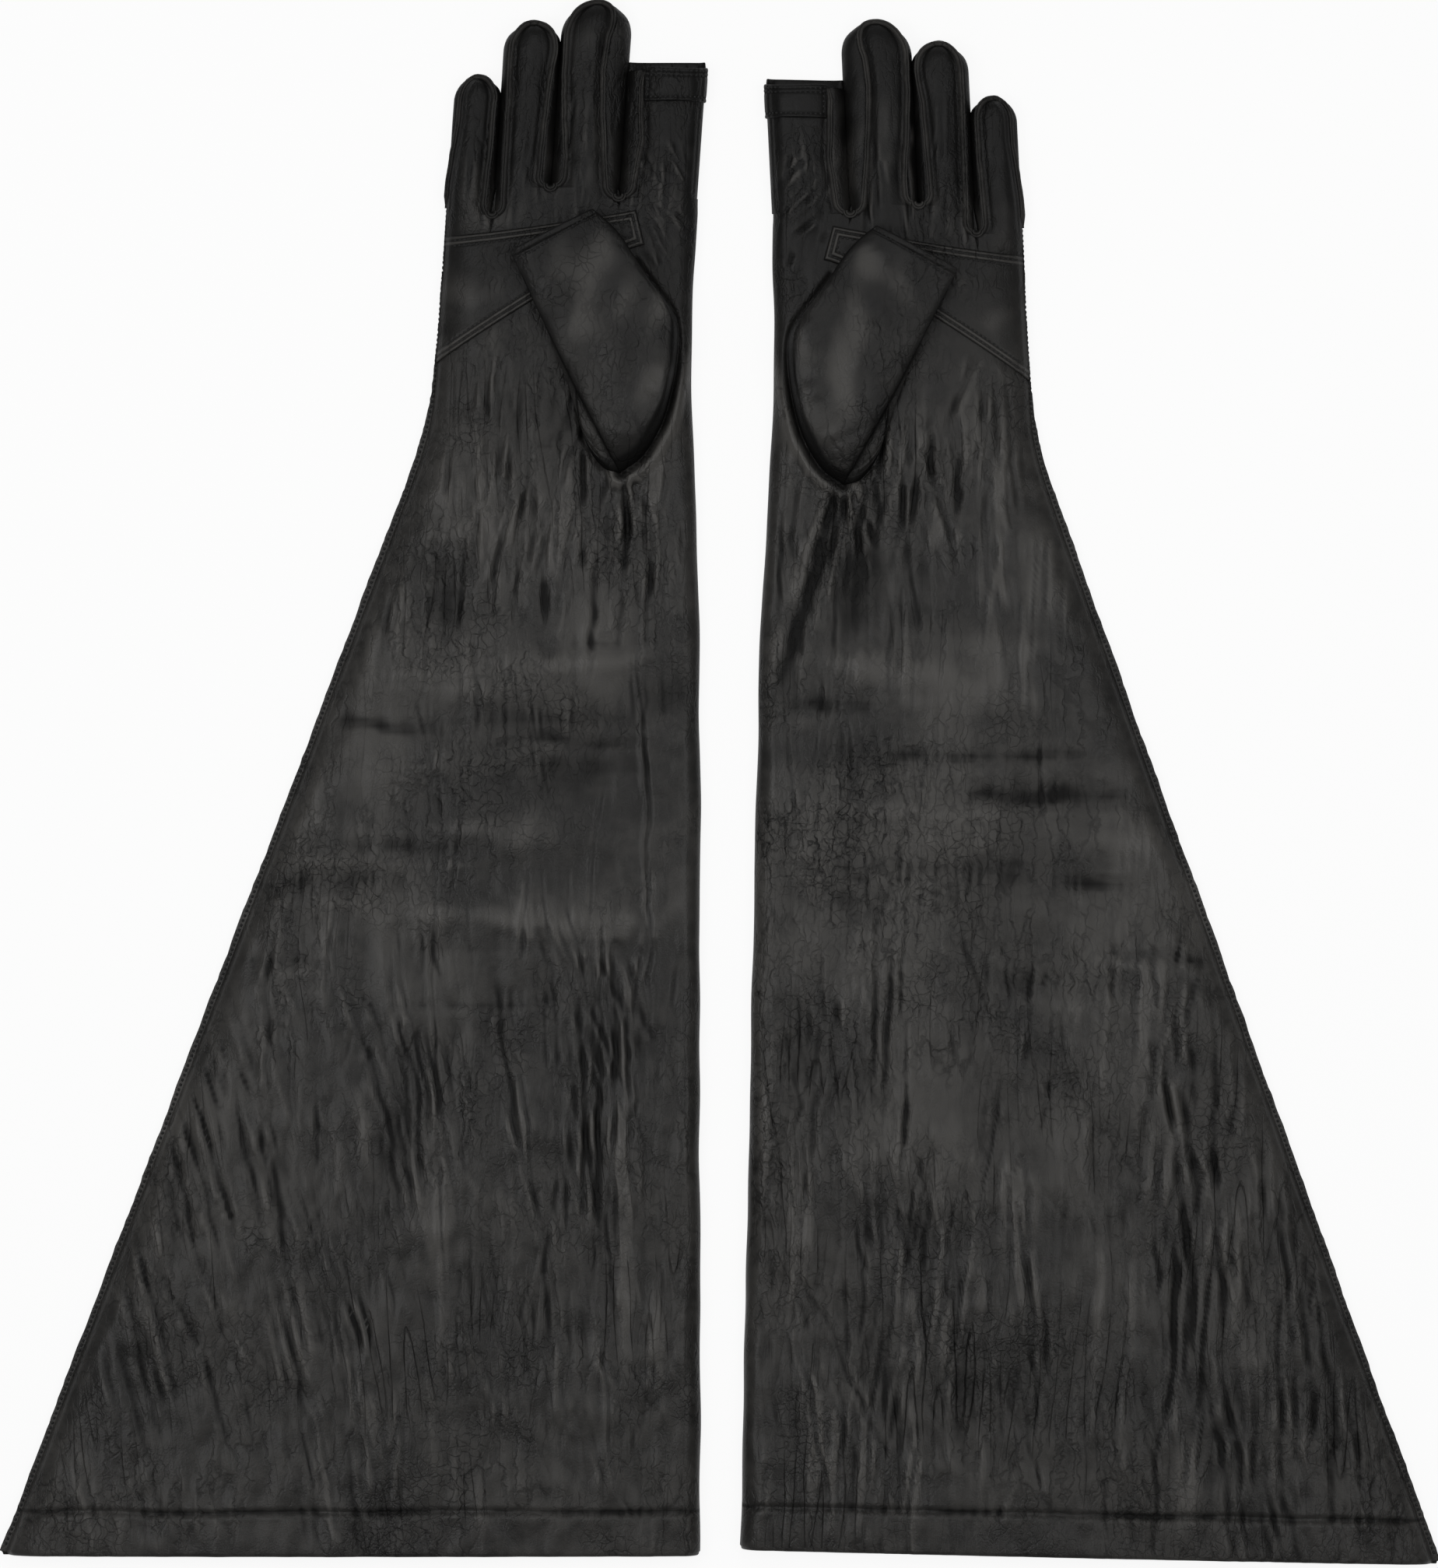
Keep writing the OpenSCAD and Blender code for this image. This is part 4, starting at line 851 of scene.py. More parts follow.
def leather_finish(name, tone, worn_and_highlight, dull, sheen, shaded):
    """Creased leather with mottled wear: painted highlights on the crests, painted shade in the valleys and between the
    fingers.
    """
    f = Finish(name)
    height_y = f.node("ShaderNodeSeparateXYZ", {}, f.place, out="Y")
    fingers = f.between(height_y, *FINGER_SHADE)
    relief = f.node("ShaderNodeAttribute", {"attribute_name": "relief"}, out="Fac")
    # above nought the painted highlight of the crests, below it the painted shade of the valleys
    valley, crest = f.between(relief, -0.1, -1.05), f.between(relief, 0.0, 0.75)
    lines = f.node("ShaderNodeAttribute", {"attribute_name": "folds"}, out="Vector")
    split = [f.node("ShaderNodeSeparateXYZ", {}, lines, out=axis) for axis in "XYZ"]
    jitter = (f.noise(f.place, 260.0, 2.0) - 0.5) * 0.12

    def fold_crease(layer, width):
        """A sharp line where a layer of folds passes through nought, bumped in and drawn as painted shade."""
        off = f.node("ShaderNodeMath", {"operation": "ABSOLUTE"}, layer + jitter)
        return (1 - f.between(off, 0.0, width)) * split[2]

    long_crease = fold_crease(split[0], 0.07) * f.between(f.noise(f.place, 26.0, 2.0), 0.42, 0.62)
    short_crease = fold_crease(split[1], 0.12) * f.between(f.noise(f.place, 42.0, 2.0), 0.42, 0.64)
    wander = f.node("ShaderNodeTexNoise", {}, Vector=f.place, Scale=170.0, Detail=3.0, out="Color")
    bent = f.node("ShaderNodeVectorMath", {"operation": "ADD"}, f.place,
                  f.node("ShaderNodeVectorMath", {"operation": "SCALE"}, wander, Scale=0.006))

    def net(across, along, width):
        """Fine lines between long cells, bumped in and drawn as painted shade."""
        place = f.node("ShaderNodeMapping", {}, bent, Scale=(1 / across, 1 / along, 1 / across))
        return 1 - f.between(f.cells(place, 1.0, "DISTANCE_TO_EDGE"), 0.0, width)

    def patches(scale, low, high):
        """Where a net shows."""
        return f.between(f.noise(f.place, scale, 2.0), low, high)

    broad = f.noise(f.stretched(1.0, 1.5, 1.0), 13.0, 3.0, 0.55)
    mottle = f.noise(f.place, 120.0, 3.0, 0.6)
    pebble = f.cells(f.place, 1250.0)
    pores = f.noise(f.place, 2400.0, 2.0, 0.6)
    long_net = net(0.0065, 0.034, 0.09) * patches(24.0, 0.44, 0.64)
    short_net = net(0.0032, 0.009, 0.12) * patches(37.0, 0.42, 0.62)
    crackle = net(0.0036, 0.0042, 0.1) * patches(29.0, 0.5, 0.68)
    wear = f.between(mottle * 0.45 + broad * 0.6, 0.4, 0.68)
    painted_shade = times(0.3, tone)
    colour = f.tint(wear, tone, worn_and_highlight)
    # painted sheen: lighter patches across the middle of the gauntlets stand in for a soft glossy highlight
    middle = f.between(height_y, -0.25, -0.12) * (1 - f.between(height_y, 0.06, 0.16))
    painted_sheen = f.between(f.noise(f.stretched(1.7, 0.8, 1.0), 11.0, 4.0, 0.6), 0.48, 0.7)
    colour = f.tint(painted_sheen * middle * 0.75, colour, times(1.8, worn_and_highlight))
    # painted shade: over the hand and the fingers the colour falls towards a tenth of the tone
    colour = f.tint(fingers * shaded, colour, times(0.1, tone))
    # painted highlight on the crests, weaker on the fingers
    colour = f.tint(crest * (0.8 - fingers * 0.3), colour, times(2.0, worn_and_highlight))
    # painted shade in the valleys
    colour = f.tint(valley * 0.85, colour, painted_shade)
    # painted shade in the crackle and in the fine nets of creases
    colour = f.tint(crackle * 0.5 + long_net * 0.42 + short_net * 0.38, colour, painted_shade)
    # painted shade along the sharp fold lines
    colour = f.tint(long_crease * 0.25 + short_crease * 0.12, colour, painted_shade)
    height = (pebble * 0.22 + pores * 0.14 - crackle * 0.5 + mottle * 0.9 - long_net * 0.7 - short_net * 0.5
              - long_crease * 1.1 - short_crease * 0.5)
    f.surface(Base_Color=colour, Normal=f.bump(height, 0.00022), Specular_IOR_Level=sheen,
              Roughness=dull + wear * 0.06 + (mottle - 0.5) * 0.14 + valley * 0.15 - crest * 0.05 + fingers * 0.1)
    # painted shade: a near-black diffuse laid over the valleys, the long creases and the long net
    unlit = f.node("ShaderNodeBsdfDiffuse", {}, Color=(0.002, 0.002, 0.002, 1.0))
    return f.over(valley * 0.5 + long_crease * 0.25 + long_net * 0.08, unlit)


def thread_finish(name, tone):
    """Twisted waxed thread."""
    f = Finish(name)
    twist = f.node("ShaderNodeTexWave", {"bands_direction": "DIAGONAL"}, Vector=f.place, Scale=900.0, Distortion=1.0)
    fuzz = f.noise(f.place, 2500.0, 2.0)
    colour = f.tint(fuzz, times(0.7, tone), times(1.5, tone))
    return f.surface(Base_Color=colour, Roughness=0.72 + fuzz * 0.15, Normal=f.bump(twist * 0.6 + fuzz * 0.4, 0.00008))


def finish(kind):
    """The finish of that name, made once from the chosen colours."""
    if kind in bpy.data.materials:
        return bpy.data.materials[kind]
    colours = bpy.context.scene.glove_colours
    tone, worn_and_highlight = tuple(colours.leather), tuple(colours.worn_and_highlight)
    if kind == "glove_leather":
        return leather_finish(kind, tone, worn_and_highlight, 0.36, 0.17, 0.92)
    if kind == "raw_edge_leather":
        return leather_finish(kind, times(1.2, tone), times(1.3, worn_and_highlight), 0.55, 0.2, 0.3)
    return thread_finish(kind, tuple(colours.thread))


# ---- The pieces ----
PALM_COLUMNS = {"little": 75, "ring": 73, "middle": 71, "index": 71}
BACK_COLUMNS = 36


def across(finger, share=1.0):
    """Columns across a stall, closer together at its sides."""
    return np.sin(np.linspace(math.pi / 2, -math.pi / 2, int(PALM_COLUMNS[finger] * share)))


def wrist_bend(glove, piece):
    """Bakes the piece's transform into its mesh; the two points below and above the wrist are worked out but not used.
    """
    glove.point(60, WRIST_Y - 14, 10)
    glove.point(60, WRIST_Y + 12, 10)
    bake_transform(piece)


def trank(glove):
    """Cuff and hand in one tube, with its turned-in hem, from the hem to the fingers."""
    owner, ends, shares = [], [], []
    span = outer_x(KNUCKLE_Y) - FOLD_X
    for finger in FINGERS:
        q = across(finger)
        x = CENTRES[finger] + q * WIDTHS[finger] / 2
        shares += list((outer_x(KNUCKLE_Y) - x) / span)
        owner += [finger] * len(q)
        ends += [BASES[finger]] * len(q)
    shares, ends, owner = np.clip(np.array(shares), 0, 1), np.array(ends), np.array(owner)
    n = len(shares)
    k = np.arange(n) / (n - 1)
    even = 0.5 * k + 0.25 * (1 - np.cos(math.pi * k))
    back = (1 + np.cos(math.pi * np.arange(1, BACK_COLUMNS + 1) / BACK_COLUMNS)) / 2
    # closer together at the hem's crease, on the hand and at the roots of the fingers
    rows = np.concatenate([np.arange(HEM_Y, HEM_L - 2.4, 2.4), np.arange(HEM_L - 2.2, HEM_L + 5.4, 0.75),
                           np.arange(HEM_L + 6, WRIST_Y - 20, 2.45), np.arange(WRIST_Y - 18, KNUCKLE_Y - 8, 1.45),
                           np.linspace(KNUCKLE_Y - 7.6, KNUCKLE_Y, 9)])
    last = KNUCKLE_Y

    def row_y(y, end):
        """The rows spread out towards the roots of the fingers, which differ in height."""
        return y + (end - last) * ramp((y - (last - 45)) / 45)

    def share_at(y):
        """Shares of the width: even on the cuff, and set by the fingers on the hand."""
        return lerp(even, shares, ramp((y - (WRIST_Y - 60)) / 150))

    back_finger = np.array([min(FINGERS, key=lambda f: abs(outer_x(KNUCKLE_Y) - g * span - CENTRES[f]))
                            for g in back])
    back_end = np.array([BASES[f] for f in back_finger])

    def rings(heights, depth=0.0, shift=0.0, creased=True):
        """Rings of points round the tube, that far inside the leather and moved along by the shift."""
        y = np.asarray(heights, float)[:, None]
        g = share_at(y)
        yp = row_y(y, ends[None, :])
        yb = row_y(y, back_end[None, :])
        xp, xb = in_from_seam(g, yp), in_from_seam(back, yb)
        zp, under = np.zeros(xp.shape), np.zeros(xp.shape)
        zb, over = np.zeros(xb.shape), np.zeros(xb.shape)
        for finger in FINGERS:
            on, at = owner == finger, back_finger == finger
            zp[:, on] = palm_z(glove, finger, xp[:, on], yp[:, on], creased)
            zb[:, at] = back_z(glove, finger, xb[:, at], yb[:, at], creased)
            if depth:
                under[:, on] = back_z(glove, finger, xp[:, on], yp[:, on], creased)
                over[:, at] = palm_z(glove, finger, xb[:, at], yb[:, at], creased)
        rough = 0.3 * lattice_noise(y / 1.9, 0.4, glove.seed + 80) + 0.5 * lattice_noise(y / 26, 0.7, glove.seed + 81)
        rough = rough * ramp((last - 8 - y) / 16)    # the little finger's side runs on from here
        sway = 0.7 * lattice_noise(y / 34, 0.2, glove.seed + 82)
        if depth:
            zp = np.maximum(zp - depth, (zp + under) / 2 + 0.04)
            zb = np.minimum(zb + depth, (zb + over) / 2 - 0.04)
            half = (outer_x(y) - inner_x(y)) / 2
            centre, squeeze = inner_x(y) + half, 1 - (depth * 0.5 + 0.4) / half
            xp, xb = centre + (xp - centre) * squeeze, centre + (xb - centre) * squeeze
            xp[:, 0] -= 2.2
            xb[:, -1] -= 2.2
        lip = 0 if depth else 1    # the outside runs out into the seam's lip
        xp = xp + rough * lip * (g < 0.004) + sway * bell(g - 1, 0.03)
        xb = xb + rough * lip * (back < 0.004) + sway * bell(back - 1, 0.03)
        part = np.stack([xp[:, :1] - 0.45 * lip, yp[:, :1] + shift, (zp[:, :1] + zb[:, -1:]) / 2], -1)
        return np.concatenate([np.stack([xp, yp + shift, zp], -1), np.stack([xb, yb + shift, zb], -1), part], 1)

    def xy_of(heights):
        """Where the points of the palm side lie, seen from above."""
        level = np.asarray(heights, float)[:, None]
        y = row_y(level, ends[None, :])
        return in_from_seam(share_at(level), y), y

    # from deep inside the hand down the lining, round the hem and up the outside
    lining = rings(np.linspace(last - 0.6, 60, 20), 2.6, creased=False)
    hem_roll = [rings([HEM_Y], depth, shift)
                for depth, shift in ((2.2, -0.9), (1.5, -1.5), (0.9, -1.6), (0.35, -1.2), (0.08, -0.6))]
    grid = np.concatenate([lining, rings([44, 30, HEM_L + 3, HEM_L + 0.6], 2.4),
                           rings([HEM_L, HEM_L - 0.8, 10, 5, 2.5, 1.4], 3.0), *hem_roll, rings(rows)])
    total, cols = grid.shape[:2]
    shape = Shape()
    shape.grid(grid, True, True, **drawn(glove, grid.shape, total - len(rows), *xy_of(rows)))
    shape.sharp.update(range((total - 1) * cols, total * cols))
    shape.sharp.update(range(cols))
    piece = shape.build(glove, "cuff_and_hand", finish("glove_leather"))
    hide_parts(glove.side + "_gauntlet", glove.side + "_hand_trank", glove.side + "_cuff_hem")
    wrist_bend(glove, piece)


def side_seam(glove):
    """Stitches on both faces of the outer seam's lip."""
    shape = Shape()
    y = np.arange(3.0, LITTLE_Y + 12, 1.0)
    wave = 0.5 * lattice_noise(y / 26, 0.7, glove.seed + 81)
    for face in (1, -1):
        high = np.full_like(y, SEAM_Z + face * (LEATHER_T + 0.02))
        path = np.stack([outer_x(y) - 0.52 * lip_w(y) + 0.5 * wave, y, high], 1)
        sew(shape, path if face > 0 else path[::-1], face * UP, seed=glove.seed + face)
    piece = shape.build(glove, "side_seam_stitches", finish("waxed_thread"))
    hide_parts(glove.side + "_gauntlet_seam_thread", glove.side + "_hand_seam_thread")
    wrist_bend(glove, piece)


def outseam_path(finger, side, start, stop, step=0.9):
    """Points on the outseam of one side of a stall between two heights."""
    y = np.arange(start, stop, step)
    return np.stack([stall_x(finger, y) + side * panel_half(finger, side, y), y], 1)


def outseam(glove, finger, flat, up, seed, open_ends):
    """The raw seam along a stall, with its foot sunk a little into the leather."""
    path = np.column_stack([flat, palm_z(glove, finger, flat[:, 0], flat[:, 1]) - 0.15])
    seam = Shape()
    ridge(seam, path[::-1], up, seed, open_ends)
    piece = seam.build(glove, finger + "_outseam", finish("raw_edge_leather"))
    hinge(glove, finger, piece)


STALL_BACK = np.sin(np.linspace(-math.pi / 2, math.pi / 2, 18))[1:-1]


def stall_sides(glove, finger, q, y):
    """Points of a stall's palm side and of its back, across it at each height."""
    outer, inner = side_w(finger, 1, y), side_w(finger, -1, y)
    xp, xb = [stall_x(finger, y) + share * np.where(share > 0, outer, inner) for share in (q, STALL_BACK)]
    yp, yb = y + 0 * xp, y + 0 * xb
    return xp, yp, palm_z(glove, finger, xp, yp), xb, yb, back_z(glove, finger, xb, yb)


def closed_finger(glove, finger):
    """A closed stall, and the outseam up one side, over the tip and down the other."""
    tip = TIP * WIDTHS[finger]
    start = LENGTHS[finger] - tip
    rows = np.concatenate([np.linspace(0, 3, 6), np.arange(3.9, start, STALL_STEP),
                           start + tip * np.sin(np.linspace(0, math.pi / 2, 22)[:-1])])[:, None]
    y = BASES[finger] + rows
    sway = 0.12 * lattice_noise(y / 17, 0.3, glove.seed + len(finger)) * ramp(rows / 10)
    xp, yp, zp, xb, yb, zb = stall_sides(glove, finger, across(finger, 0.75), y)
    grid = np.concatenate([np.stack([xp + sway, yp, zp], -1), np.stack([xb + sway, yb, zb], -1)], 1)
    looks = drawn(glove, grid.shape, 0, xp, yp)
    looks["relief"] *= 1 - tip_share(finger, y)
    shape = Shape()
    shape.caps(shape.grid(grid, closed_cols=True, **looks), *grid.shape[:2])
    piece = shape.build(glove, finger + "_stall", finish("glove_leather"))
    strips = ["fourchette"] if finger == "little" else ["inner_fourchette", "outer_fourchette"]
    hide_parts(*[f"{glove.side}_{finger}_{node}" for node in ["palm_panel", "back_panel", *strips]])
    hinge(glove, finger, piece)

    start, reach = tip_start(finger), tip - SEAM_SHORT
    first = CROTCH[finger, 1] + (3 if finger == "little" else 0.3)
    up_side = outseam_path(finger, 1, first, start)
    down_side = outseam_path(finger, -1, CROTCH[finger, -1] + 0.3, start)[::-1]
    a = np.linspace(0, math.pi, 34)
    y = start + reach * np.sin(a) * 0.999
    half = np.where(a < math.pi / 2, panel_half(finger, 1, y), panel_half(finger, -1, y))
    tip = np.stack([stall_x(finger, y) + np.sign(np.cos(a)) * half, y], 1)
    flat = resample(np.vstack([up_side, tip, down_side]), 0.9)
    edge = np.stack([flat[:, 0] - stall_x(finger, flat[:, 1]), np.clip((flat[:, 1] - start) * 0.8, 0, None)], 1)
    edge /= np.maximum(np.linalg.norm(edge, axis=1, keepdims=True), 1e-6)
    up = np.column_stack([edge * 0.55, np.ones(len(flat))])
    outseam(glove, finger, flat, up[::-1], glove.seed + len(finger) * 7, ("stop",) if finger == "little" else ())


def hinge(glove, finger, piece):
    """Bakes the piece's transform into its mesh; the two points over the first 16 mm of the finger are worked out but
    not used.
    """
    x, base, run = CENTRES[finger], BASES[finger], 16
    glove.point(x, base, 10)
    glove.point(x - LEAN * run, base + run, 10)
    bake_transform(piece)


def index_stall(glove):
    """The cut-off index stall, with the inside of its opening."""
    finger, l, base = "index", LENGTHS["index"], INDEX_Y
    q = across(finger)

    def rings(rises, depth=0.0, shift=0.0):
        """Rings of points that far above the root and inside the leather."""
        d = np.asarray(rises, float)[:, None]
        xp, yp, zp, xb, yb, zb = stall_sides(glove, finger, q, base + d)
        middle = stall_x(finger, base + d)
        if depth:
            zp = np.maximum(zp - depth, (zp + back_z(glove, finger, xp, yp)) / 2 + 0.1)
            zb = np.minimum(zb + depth, 3.5)
            xp, xb = middle + (xp - middle) * (1 - depth / 15), middle + (xb - middle) * (1 - depth / 15)
        wave = (0.5 * np.sin(3 * q + 1) - 0.9) * ramp((d - 30) / 20)
        return np.concatenate([np.stack([xp, yp + shift + wave, zp], -1),
                               np.stack([xb, yb + shift + 2.4 * ramp((d - 30) / 20), zb], -1)], 1)

    outside = rings(np.concatenate([np.linspace(0, 3, 6), np.arange(4, l - 0.6, STALL_STEP), [l - 0.4]]))
    grid = np.concatenate([outside, rings([l], 0.2, 0.1), rings([l], 0.8, 0.1), rings([l - 0.3], 1.2),
                           rings([l - 3, l - 8, l - 16, l - 28], 1.4)])
    palm = outside[:, :len(q)]
    shape = Shape()
    start = shape.grid(grid, closed_cols=True, **drawn(glove, grid.shape, 0, palm[..., 0], palm[..., 1]))
    shape.caps(start, *grid.shape[:2])
    piece = shape.build(glove, "index_stall_leather", finish("glove_leather"))
    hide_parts(glove.side + "_index_stall", glove.side + "_index_fourchette")
    hinge(glove, finger, piece)
    flat = resample(outseam_path(finger, 1, base + 0.3, base + l - 1.0), 0.9)
    up = np.tile([0.5, 0.0, 1.0], (len(flat), 1))
    outseam(glove, finger, flat, up, glove.seed + 31, ("start",))
    index_band(glove)


def index_band(glove):
    """The band sewn round the open end of the index stall, and its stitches."""
    finger, l, base = "index", LENGTHS["index"], INDEX_Y
    # down from the open end and out from the stall: two grooves near the end, one near the lower edge
    profile = [(-0.1, 0.0), (-0.15, 0.75), (0.25, 1.15), (0.9, 1.3), (1.3, 1.2), (1.6, 1.1), (1.9, 1.2), (2.4, 1.4),
               (2.9, 1.2), (3.2, 1.1), (3.6, 1.2), (4.4, 1.35), (6.5, 1.4), (9, 1.4)]
    profile += [(BAND_L + down, lift) for down, lift in (
        (-2.5, 1.35), (-1.9, 1.2), (-1.5, 1.1), (-1.1, 1.2), (-0.6, 1.45), (-0.1, 1.4), (0.15, 0.9), (0.2, -0.1))]
    turn = np.concatenate([np.linspace(0, 1, 60), 1 + np.linspace(0, 1, 40)[1:]])

    def at(share, y, lift):
        """Points on the band: share 0 to 1 runs over the palm side, 1 to 2 back under it."""
        share, y, lift = np.broadcast_arrays(*[np.asarray(v, float) for v in (share, y, lift)])
        hw, cx = WIDTHS[finger] / 2, stall_x(finger, y)
        first = panel_half(finger, 1, y) - 0.9
        top = lerp(first, -hw, np.sin(np.clip(share, 0, 1) * math.pi / 2))
        low = lerp(-hw, hw - 0.6, 1 - np.cos((np.clip(share, 1, 2) - 1) * math.pi / 2))
        near_top, near_low = ramp((hw + top) / 5), ramp((hw + low) / 4)
        palm = np.stack([cx + top - 0.6 * lift * (1 - near_top), y,
                         palm_z(glove, finger, cx + top, y, creased=False) + 0.15 + lift * lerp(0.35, 1, near_top)], -1)
        under = np.stack([cx + low - 0.6 * lift * (1 - near_low), y,
                          back_z(glove, finger, cx + low, y) - lift * near_low * 0.5 + 0.35], -1)
        return np.where((share <= 1)[..., None], palm, under)

    downs, lifts = np.array(profile[::-1]).T[:, :, None]
    dip = 0.7 * np.sin(np.clip(turn[None, :], 0, 1) * math.pi) ** 2 * np.clip(1 - downs / BAND_L, 0, 1)
    grid = at(turn[None, :], base + l - downs - dip, lifts)
    shape = Shape()
    # painted shade along the band's three grooves
    groove = -0.9 * sum(bell(downs - row, 0.5) for row in (1.6, 3.2, BAND_L - 1.5))
    shape.sides(shape.grid(grid, relief=np.repeat(groove, grid.shape[1], 1)), *grid.shape[:2])
    piece = shape.build(glove, "index_band_strip", finish("glove_leather"))
    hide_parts(glove.side + "_index_band")
    hinge(glove, finger, piece)
    shape = Shape()
    for down in (1.5, 3.2, BAND_L - 1.5):
        top = at(np.linspace(0.04, 0.8, 60), base + l - down, 0.95)
        sew(shape, top, UP, seed=glove.seed + int(down * 10))
        under = at(np.linspace(1.4, 1.97, 40), base + l - down, 0.95)
        sew(shape, under, -UP, seed=glove.seed + int(down * 10) + 1)
    end = at(0.03, np.linspace(base + l - BAND_L + 1.5, base + l - 1.6, 12), 1.15)
    sew(shape, end, UP, seed=glove.seed + 5)
    piece = shape.build(glove, "index_band_stitches", finish("waxed_thread"))
    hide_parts(glove.side + "_index_band_thread")
    hinge(glove, finger, piece)


def crotches(glove):
    """The rounded ends of the seams between the fingers."""
    for upper, name in (("little", "little_ring"), ("ring", "ring_middle"), ("middle", "middle_index")):
        y0 = CROTCH[upper, -1]
        x0 = stall_x(upper, y0) - WIDTHS[upper] / 2 - GAP / 2
        a = np.linspace(-math.pi * 0.5, math.pi * 0.5, 12)
        x = x0 + 1.9 * np.sin(a)
        y = y0 - 0.3 + 1.7 * (1 - np.cos(a))
        z = on_palm(glove, np.full_like(a, x0 + 2.6), y0 - 0.6, -0.3)[:, 2]
        shape = Shape()
        ridge(shape, np.stack([x, y, z], 1)[::-1], np.tile([0.0, -0.35, 1.0], (len(a), 1)), glove.seed + len(name))
        piece = shape.build(glove, name + "_seam_end", finish("raw_edge_leather"))
        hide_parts(f"{glove.side}_{name}_crotch")
        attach(piece, glove.side + "_hand")


def patch(glove):
    """The palm patch with its raised edges and its rows of stitches."""
    reach = outer_x(PATCH_TOP) - PATCH_SEAM_GAP
    cols = 120

    def at(f, share):
        """A place by its share of the way to the strap's tip and of the way up."""
        low, high = patch_edges(lerp(reach, STRAP_X, f))
        y = lerp(low, high, share)
        return lerp(outer_x(y) - PATCH_SEAM_GAP, STRAP_X + PATCH_SLANT * (share - 0.5), f), y

    fs = 0.5 * np.linspace(0, 1, cols) + 0.25 * (1 - np.cos(np.linspace(0, math.pi, cols)))
    shares = np.concatenate([np.linspace(0, 0.2, 24), np.linspace(0.2, 0.8, 24)[1:-1], np.linspace(0.8, 1, 24)])
    x, y = at(fs[None, :], shares[:, None])
    low, high = patch_edges(lerp(reach, STRAP_X, fs))
    edge = np.minimum(np.minimum(LOW_SLOPE * (y - low), high - y), (1 - fs) * (reach - STRAP_X))
    ribs = (0.35 * bell(edge - 0.9, 0.6) + 0.45 * bell(edge - 2.8, 0.7)
            - 0.2 * bell(edge - PATCH_ROWS[0], 0.45) - 0.25 * bell(edge - PATCH_ROWS[1], 0.5))
    soft = lattice_noise(x / 13, y / 17, glove.seed + 90) + lattice_noise(x / 30, y / 24, glove.seed + 91)
    soft = 0.5 * soft * ramp((edge - 4) / 6)
    roll = quarter(np.clip(edge, 0, 0.7) / 0.7)
    under = on_palm(glove, x, y, 0.05)
    sheet = under.copy()
    sheet[..., 2] += 0.05 + (LEATHER_T + PLY_GAP) * lerp(0.45, 1, roll) + ribs + soft
    shape = Shape()
    grid = np.concatenate([sheet, under[::-1]])
    # painted highlight on the raised ribs and the soft swellings of the patch, none on its underside
    relief = np.concatenate([1.6 * np.maximum(ribs, 0) + 0.9 * soft, 0 * ribs])
    shape.sides(shape.grid(grid, closed_rows=True, relief=relief), *grid.shape[:2])
    piece = shape.build(glove, "palm_patch_leather", finish("glove_leather"))
    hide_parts(glove.side + "_palm_patch")
    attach(piece, glove.side + "_hand")

    shape = Shape()
    lift = LEATHER_T + PLY_GAP - 0.15
    for row in PATCH_ROWS:
        last = 1 - row / (reach - STRAP_X)
        for top in (False, True):
            f = np.linspace(0.045, last, 140)
            low, high = patch_edges(lerp(reach, STRAP_X, f))
            x, y = at(f, 1 - row / (high - low) if top else row / LOW_SLOPE / (high - low))
            sew(shape, on_palm(glove, x, y, lift), UP, seed=glove.seed + int(row * 10) + top)
        low, high = patch_edges(np.array(STRAP_X + row))
        x, y = at(last, np.linspace((row + 1) / (high - low), 1 - (row + 0.8) / (high - low), 16))
        sew(shape, on_palm(glove, x, y, lift), UP, seed=glove.seed + 70)
    piece = shape.build(glove, "palm_patch_stitches", finish("waxed_thread"))
    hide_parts(glove.side + "_patch_thread")
    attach(piece, glove.side + "_hand")


